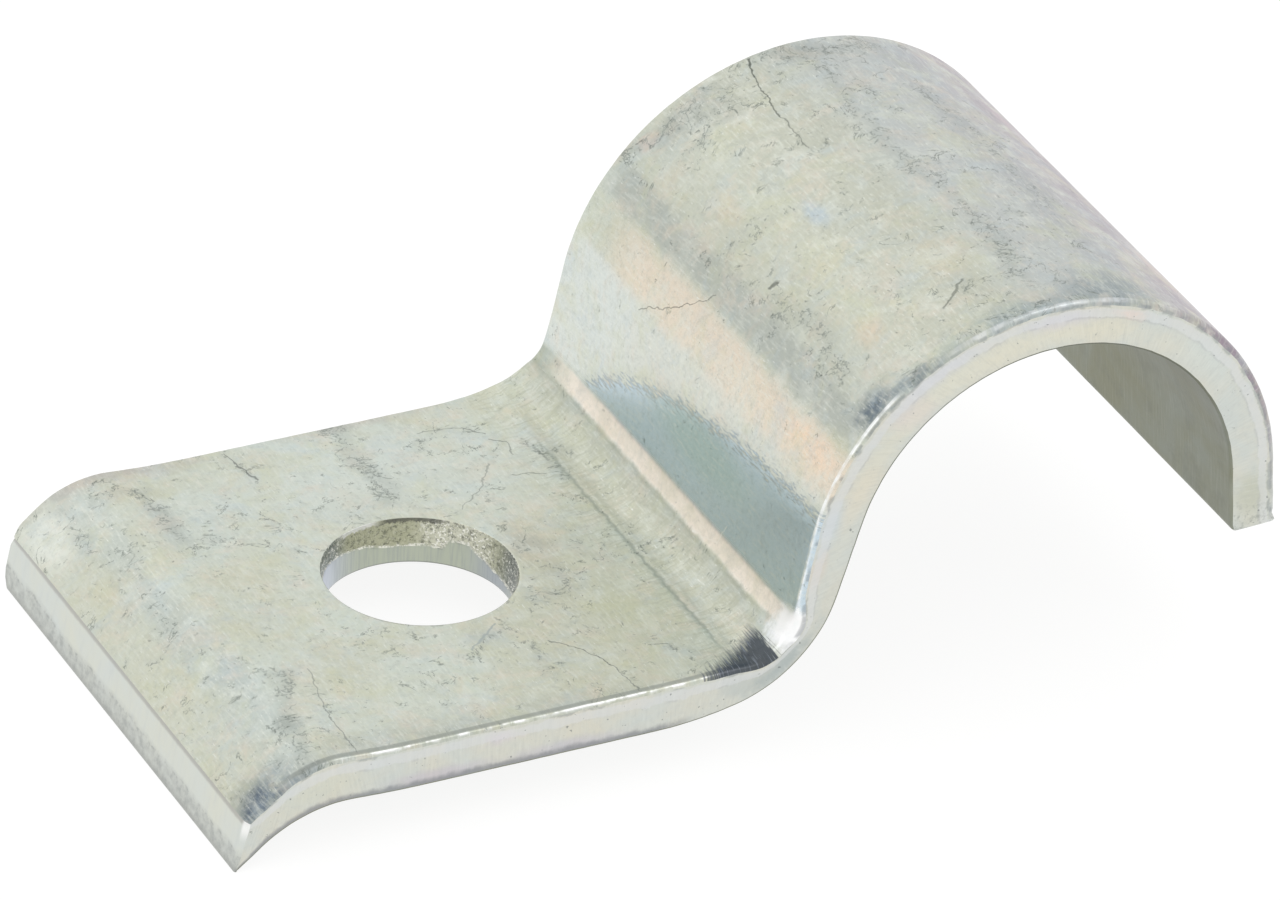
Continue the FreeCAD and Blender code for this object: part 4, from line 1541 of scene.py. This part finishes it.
@dataclass(frozen=True)
class PartedEnd(ZincFinish):
    """The parted ends, heel and tail: a smooth pale cut, and a darker torn strip with a wavy border."""

    name: str = "zinc_electroplated_parted_end"
    cool: str = "#D0D5D1"
    warm: str = "#D4D6CB"
    roughness: float = 0.36

    def material(self) -> bpy.types.Material:
        """Build the material of the parted ends."""
        made, tree, solid, strip = self.begin()
        wander = clouds(tree, solid, 2.2, 4.0, 0.55)
        _, across, level = axes(tree, strip)
        depth = times_plus(tree, wander, 0.45, level)
        torn = ramp(tree, depth, 0.53, 0.72, 1.0, 0.0)
        grit = clouds(tree, solid, 0.4, 6.0, 0.7)
        dark = ramp(tree, grit, 0.46, 0.62)
        pale = ramp(tree, grit, 0.44, 0.34)
        line = band(tree, depth, 0.60, 0.64, 0.04)
        upright = vectors(tree, "MULTIPLY", strip, (0.0, 1 / 0.3, 1 / 0.6))
        upright = ramp(tree, clouds(tree, upright, 1.0, 4.0), 0.5, 0.7)
        rim = band(tree, times_plus(tree, grit, 0.05, level), 0.95, 2.0, 0.07)
        # Painted highlight: white down the heel's front corner, over its upper part.
        front = area(tree, across, level, (-11.0, -9.85, 0.12), (0.72, 2.0, 0.3))
        colour = layered(tree, self.mottled(tree, solid), [
            (upright, "#C2C7C6", 0.25),
            (torn, "#BDC0BB", 0.8),
            (times(tree, torn, dark), "#999D9B", 0.55),
            (times(tree, torn, pale), "#CDD2CD", 0.6),
            (times(tree, line, dark), "#8D918F", 0.5),
            (band(tree, level, -1.0, 0.12, 0.14), "#A0A29E", 0.55),
            (rim, "#9D9A95", 0.6),
            (front, "#F8F8F6", 0.8),
        ])
        self.surface(tree, solid, colour, self.roughness)
        return made


@dataclass(frozen=True)
class PunchedWall(ZincFinish):
    """The hole's wall: torn, sparkling grains above and a smooth land with fine upright scratches below."""

    name: str = "zinc_electroplated_punched_wall"
    cool: str = "#B9BFB4"
    warm: str = "#B4B49A"
    roughness: float = 0.3

    # Soft areas of the wall, seen from above: middle, reach and softness.
    LEFT = ((-3.2, 2.0), (3.2, 3.2), 0.9)
    RIGHT = ((3.6, 0.6), (1.6, 2.2), 0.9)
    BRIGHT_SIDE = ((2.9, 2.5), (1.9, 2.4), 0.6)
    GREY_SIDE = ((-3.2, 2.3), (2.3, 2.4), 0.5)
    FAR_SIDE = ((3.7, -0.6), (1.1, 1.7), 0.8)
    DARK_MOUTH = ((1.4, 3.3), (1.7, 1.2), 0.5)
    # Painted highlight: the glint on the burr at the mouth.
    MOUTH_GLINT = ((-0.9, 3.5), (1.1, 1.2), 0.5)

    def material(self) -> bpy.types.Material:
        """Build the material of the hole's wall."""
        made, tree, solid, strip = self.begin()
        _, _, torn = axes(tree, strip)

        # Land: upright scratches a twentieth of a millimetre apart.
        upright = vectors(tree, "MULTIPLY", solid, (1 / 0.07, 1 / 0.07, 1 / 1.5))
        upright = ramp(tree, clouds(tree, upright, 1.0, 2.0), 0.45, 0.7)
        left = patch(tree, solid, *self.LEFT)
        right = patch(tree, solid, *self.RIGHT)
        land = layered(tree, linear("#B4BAAA"), [
            (left, "#C6CDDA", 1.0),
            (right, "#A9AFB6", 0.85),
            (upright, "#8E949C", 0.35),
        ])

        # Torn zone: broken grains of a few hundredths of a millimetre, dull grey beside bright cream, with
        # painted sparkle highlights.
        grit = clouds(tree, solid, 0.17, 4.0, 0.8)
        fine = clouds(tree, solid, 0.11, 2.0, 0.7)
        dull = ramp(tree, grit, 0.50, 0.60)
        spark = ramp(tree, fine, 0.55, 0.61)
        bright_side = patch(tree, solid, *self.BRIGHT_SIDE)
        grey_side = patch(tree, solid, *self.GREY_SIDE)
        far_side = patch(tree, solid, *self.FAR_SIDE)
        sides = maths(tree, "MAXIMUM", grey_side, far_side)
        sides = times_plus(tree, sides, 0.8, 0.12)
        sparks = maths(tree, "MAXIMUM", bright_side, sides)
        sparks = times(tree, sparks, spark)
        grains = layered(tree, linear("#B9BAA0"), [
            (grey_side, "#989F9C", 0.95),
            (bright_side, "#D9D9C8", 0.9),
            (far_side, "#8F9492", 0.9),
            (dull, "#5C5F57", 0.65),
            (sparks, "#FDFCF4", 0.95),
        ])
        colour = blend(tree, torn, land, grains)

        # Painted highlights: glints along the border and a bright glint on the burr at the mouth; a dark torn
        # fringe at the mouth; a painted dark reflection along the lower rim.
        border = maths(tree, "SUBTRACT", torn, 0.5)
        border = maths(tree, "ABSOLUTE", border)
        border = ramp(tree, border, 0.46, 0.36)
        glint = ramp(tree, grit, 0.47, 0.56)
        border = times(tree, border, glint)
        _, _, level = axes(tree, solid)
        height = times_plus(tree, grit, 0.4, level)
        mouth = ramp(tree, height, 1.86, 1.93)
        dark_mouth = times(tree, mouth, patch(tree, solid, *self.DARK_MOUTH))
        mouth_glint = times(tree, mouth, patch(tree, solid, *self.MOUTH_GLINT))
        # Painted dark reflection along the lower rim.
        foot = ramp(tree, level, 0.06, 0.10, 1.0, 0.0)
        colour = layered(tree, colour, [
            (border, "#F6F5EA", 0.85),
            (dark_mouth, "#63645F", 0.8),
            (mouth_glint, "#F4F4F2", 0.85),
            (foot, "#747673", 0.7),
        ])
        height = times(tree, grit, 0.05)
        height = times(tree, height, torn)
        self.surface(tree, solid, colour, self.roughness, height)
        return made


# ---------------------------------------------------------------------------------------------------------
# Studio
# ---------------------------------------------------------------------------------------------------------

@dataclass(frozen=True)
class SoftLamp:
    """One softbox: an area lamp aimed at the strap.

    Attributes:
        name: name of the lamp.
        way: direction from the strap to the lamp.
        distance: distance to the lamp.
        size: side of its square face.
        radiance: brightness of its face, where 1 is white.
        shade: colour of its light.
    """

    name: str
    way: tuple[float, float, float]
    distance: float
    size: float
    radiance: float
    shade: str = "#FFFFFF"

    def build(self, target: Vector) -> bpy.types.Object:
        """Hang the lamp and aim it at a point given in metres."""
        data = bpy.data.lights.new(self.name, "AREA")
        data.shape, data.size = "SQUARE", self.size * METRE
        data.energy = self.radiance * math.pi * (self.size * METRE) ** 2
        data.color = linear(self.shade)[:3]
        lamp = bpy.data.objects.new(self.name, data)
        way = Vector(self.way).normalized()
        lamp.location = target + way * self.distance * METRE
        lamp.rotation_mode = "QUATERNION"
        lamp.rotation_quaternion = way.to_track_quat("Z", "Y")
        bpy.context.scene.collection.objects.link(lamp)
        return lamp


@dataclass(frozen=True)
class Viewpoint:
    """The camera: a long lens that looks down on the strap from the front left.

    Attributes:
        azimuth: angle round the strap, in degrees, 0 looking along +Y.
        elevation: angle over the level, in degrees.
        roll: turn about the line of sight, in degrees.
        distance: distance to the aimed-at point.
        target: the aimed-at point.
        lens: focal length for a sensor 36 mm wide.
    """

    azimuth: float = -28.402
    elevation: float = 31.81
    roll: float = 3.63
    distance: float = 390.2
    target: tuple[float, float, float] = (9.63, 1.97, 3.57)
    lens: float = 305.4

    def build(self) -> bpy.types.Object:
        """Make the camera and set it as the scene's own."""
        around, up = math.radians(self.azimuth), math.radians(self.elevation)
        back = Vector((math.sin(around) * math.cos(up), -math.cos(around) * math.cos(up), math.sin(up)))
        right = Vector((0, 0, 1)).cross(back).normalized()
        above = back.cross(right)
        turn = math.radians(self.roll)
        turned_right = right * math.cos(turn) + above * math.sin(turn)
        turned_up = above * math.cos(turn) - right * math.sin(turn)
        data = bpy.data.cameras.new("viewpoint")
        data.sensor_width, data.lens = 36.0, self.lens
        data.clip_start, data.clip_end = 0.02, 10.0
        camera = bpy.data.objects.new("viewpoint", data)
        place = Vector(self.target) + back * self.distance
        camera.matrix_world = Matrix.Translation(place * METRE) @ Matrix(
            (turned_right, turned_up, back)).transposed().to_4x4()
        bpy.context.scene.collection.objects.link(camera)
        bpy.context.scene.camera = camera
        return camera


@dataclass
class Studio:
    """A plain pale table in a white tent with soft lamps.

    Attributes:
        floor_radius: radius of the table top.
        tent_level: brightness of the tent for diffuse light, where 1 is white.
        paper_shade: colour of the table's paper for diffuse light.
        paper_glow: brightness that is added where the paper is seen.
        lamps: the softboxes.
    """

    floor_radius: float = 2500.0
    tent_level: float = 1.0
    paper_shade: str = "#767675"
    paper_glow: float = 0.87
    lamps: tuple[SoftLamp, ...] = (
        SoftLamp("softbox_front", (0.40, -0.53, 0.75), 500.0, 110.0, 2.0),
        SoftLamp("softbox_left", (-0.80, -0.30, 0.52), 520.0, 220.0, 0.5),
        SoftLamp("softbox_rear", (-0.10, 0.78, 0.62), 560.0, 300.0, 0.2),
        SoftLamp("softbox_right", (0.90, 0.15, 0.40), 520.0, 220.0, 0.25),
    )

    def build(self, floor_level: float, target: Vector) -> None:
        """Build table, tent and lamps.

        Args:
            floor_level: height of the table top, in metres.
            target: the point that the lamps are aimed at, in metres.
        """
        self.build_tent()
        self.build_table(floor_level)
        for lamp in self.lamps:
            lamp.build(target)
            LOG.info("lamp %s: radiance %.1f", lamp.name, lamp.radiance)
        view = bpy.context.scene.view_settings
        view.view_transform = "Standard"

    def seen_white(self, tree: Tree) -> Socket:
        """Mask that is 1 for rays that see the surface straight or in metal or glass."""
        path = tree.nodes.new("ShaderNodeLightPath")
        seen = maths(tree, "ADD", path.outputs["Is Camera Ray"], path.outputs["Is Glossy Ray"])
        return maths(tree, "ADD", seen, path.outputs["Is Transmission Ray"], clamp=True)

    def build_tent(self) -> None:
        """Set the world: white where it is seen, a plain level where it lights."""
        world = bpy.data.worlds.new("tent")
        bpy.context.scene.world = world
        world.use_nodes = True
        tree = world.node_tree
        tree.nodes.clear()
        lit = add(tree, "Background", {0: linear("#FFFFFF"), 1: self.tent_level})
        seen = add(tree, "Background", {0: linear("#FFFFFF"), 1: 1.0})
        both = add(tree, "MixShader", {0: self.seen_white(tree), 1: lit, 2: seen})
        add(tree, "OutputWorld", {0: both})

    def build_table(self, level: float) -> None:
        """Build the round table top and its paper surface."""
        edge = np.linspace(0, 2 * math.pi, 97)[:-1]
        rim = np.stack([np.cos(edge), np.sin(edge), 0 * edge], axis=-1) * self.floor_radius * METRE
        mesh = bpy.data.meshes.new("table")
        mesh.from_pydata(rim.tolist(), [], [list(range(len(rim)))])
        table = bpy.data.objects.new("table", mesh)
        table.location.z = level
        bpy.context.scene.collection.objects.link(table)
        table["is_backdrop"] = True

        # White paper: matt, and bright enough that only the strap's soft shadow shows on it.
        paper = bpy.data.materials.new("white_paper_matt")
        paper.use_nodes = True
        tree = paper.node_tree
        tree.nodes.clear()
        matt = add(tree, "BsdfDiffuse", {0: linear(self.paper_shade)})
        glow = add(tree, "Emission", {0: linear("#FFFFFF"), 1: self.paper_glow})
        bright = add(tree, "AddShader", {0: matt, 1: glow})
        both = add(tree, "MixShader", {0: self.seen_white(tree), 1: matt, 2: bright})
        add(tree, "OutputMaterial", {0: both})
        mesh.materials.append(paper)


def main() -> None:
    """Build the strap, its studio and the camera."""
    logging.basicConfig(level=logging.INFO, format="%(name)s: %(message)s")
    strap = StrapSheet()
    sheet = strap.build()
    strap.dress(sheet)
    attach(sheet, BODY)
    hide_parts(NODE)
    LOG.info("%s: %d faces, %d materials", sheet.name, len(sheet.data.polygons), len(sheet.data.materials))

    low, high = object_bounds()
    gap = 0.00002  # the table lies this far under the heel, in metres
    Studio().build(low.z - gap, (low + high) / 2)
    Viewpoint().build()
    LOG.info("visual box %s to %s", tuple(round(v, 5) for v in low), tuple(round(v, 5) for v in high))


if __name__ == "__main__":
    main()
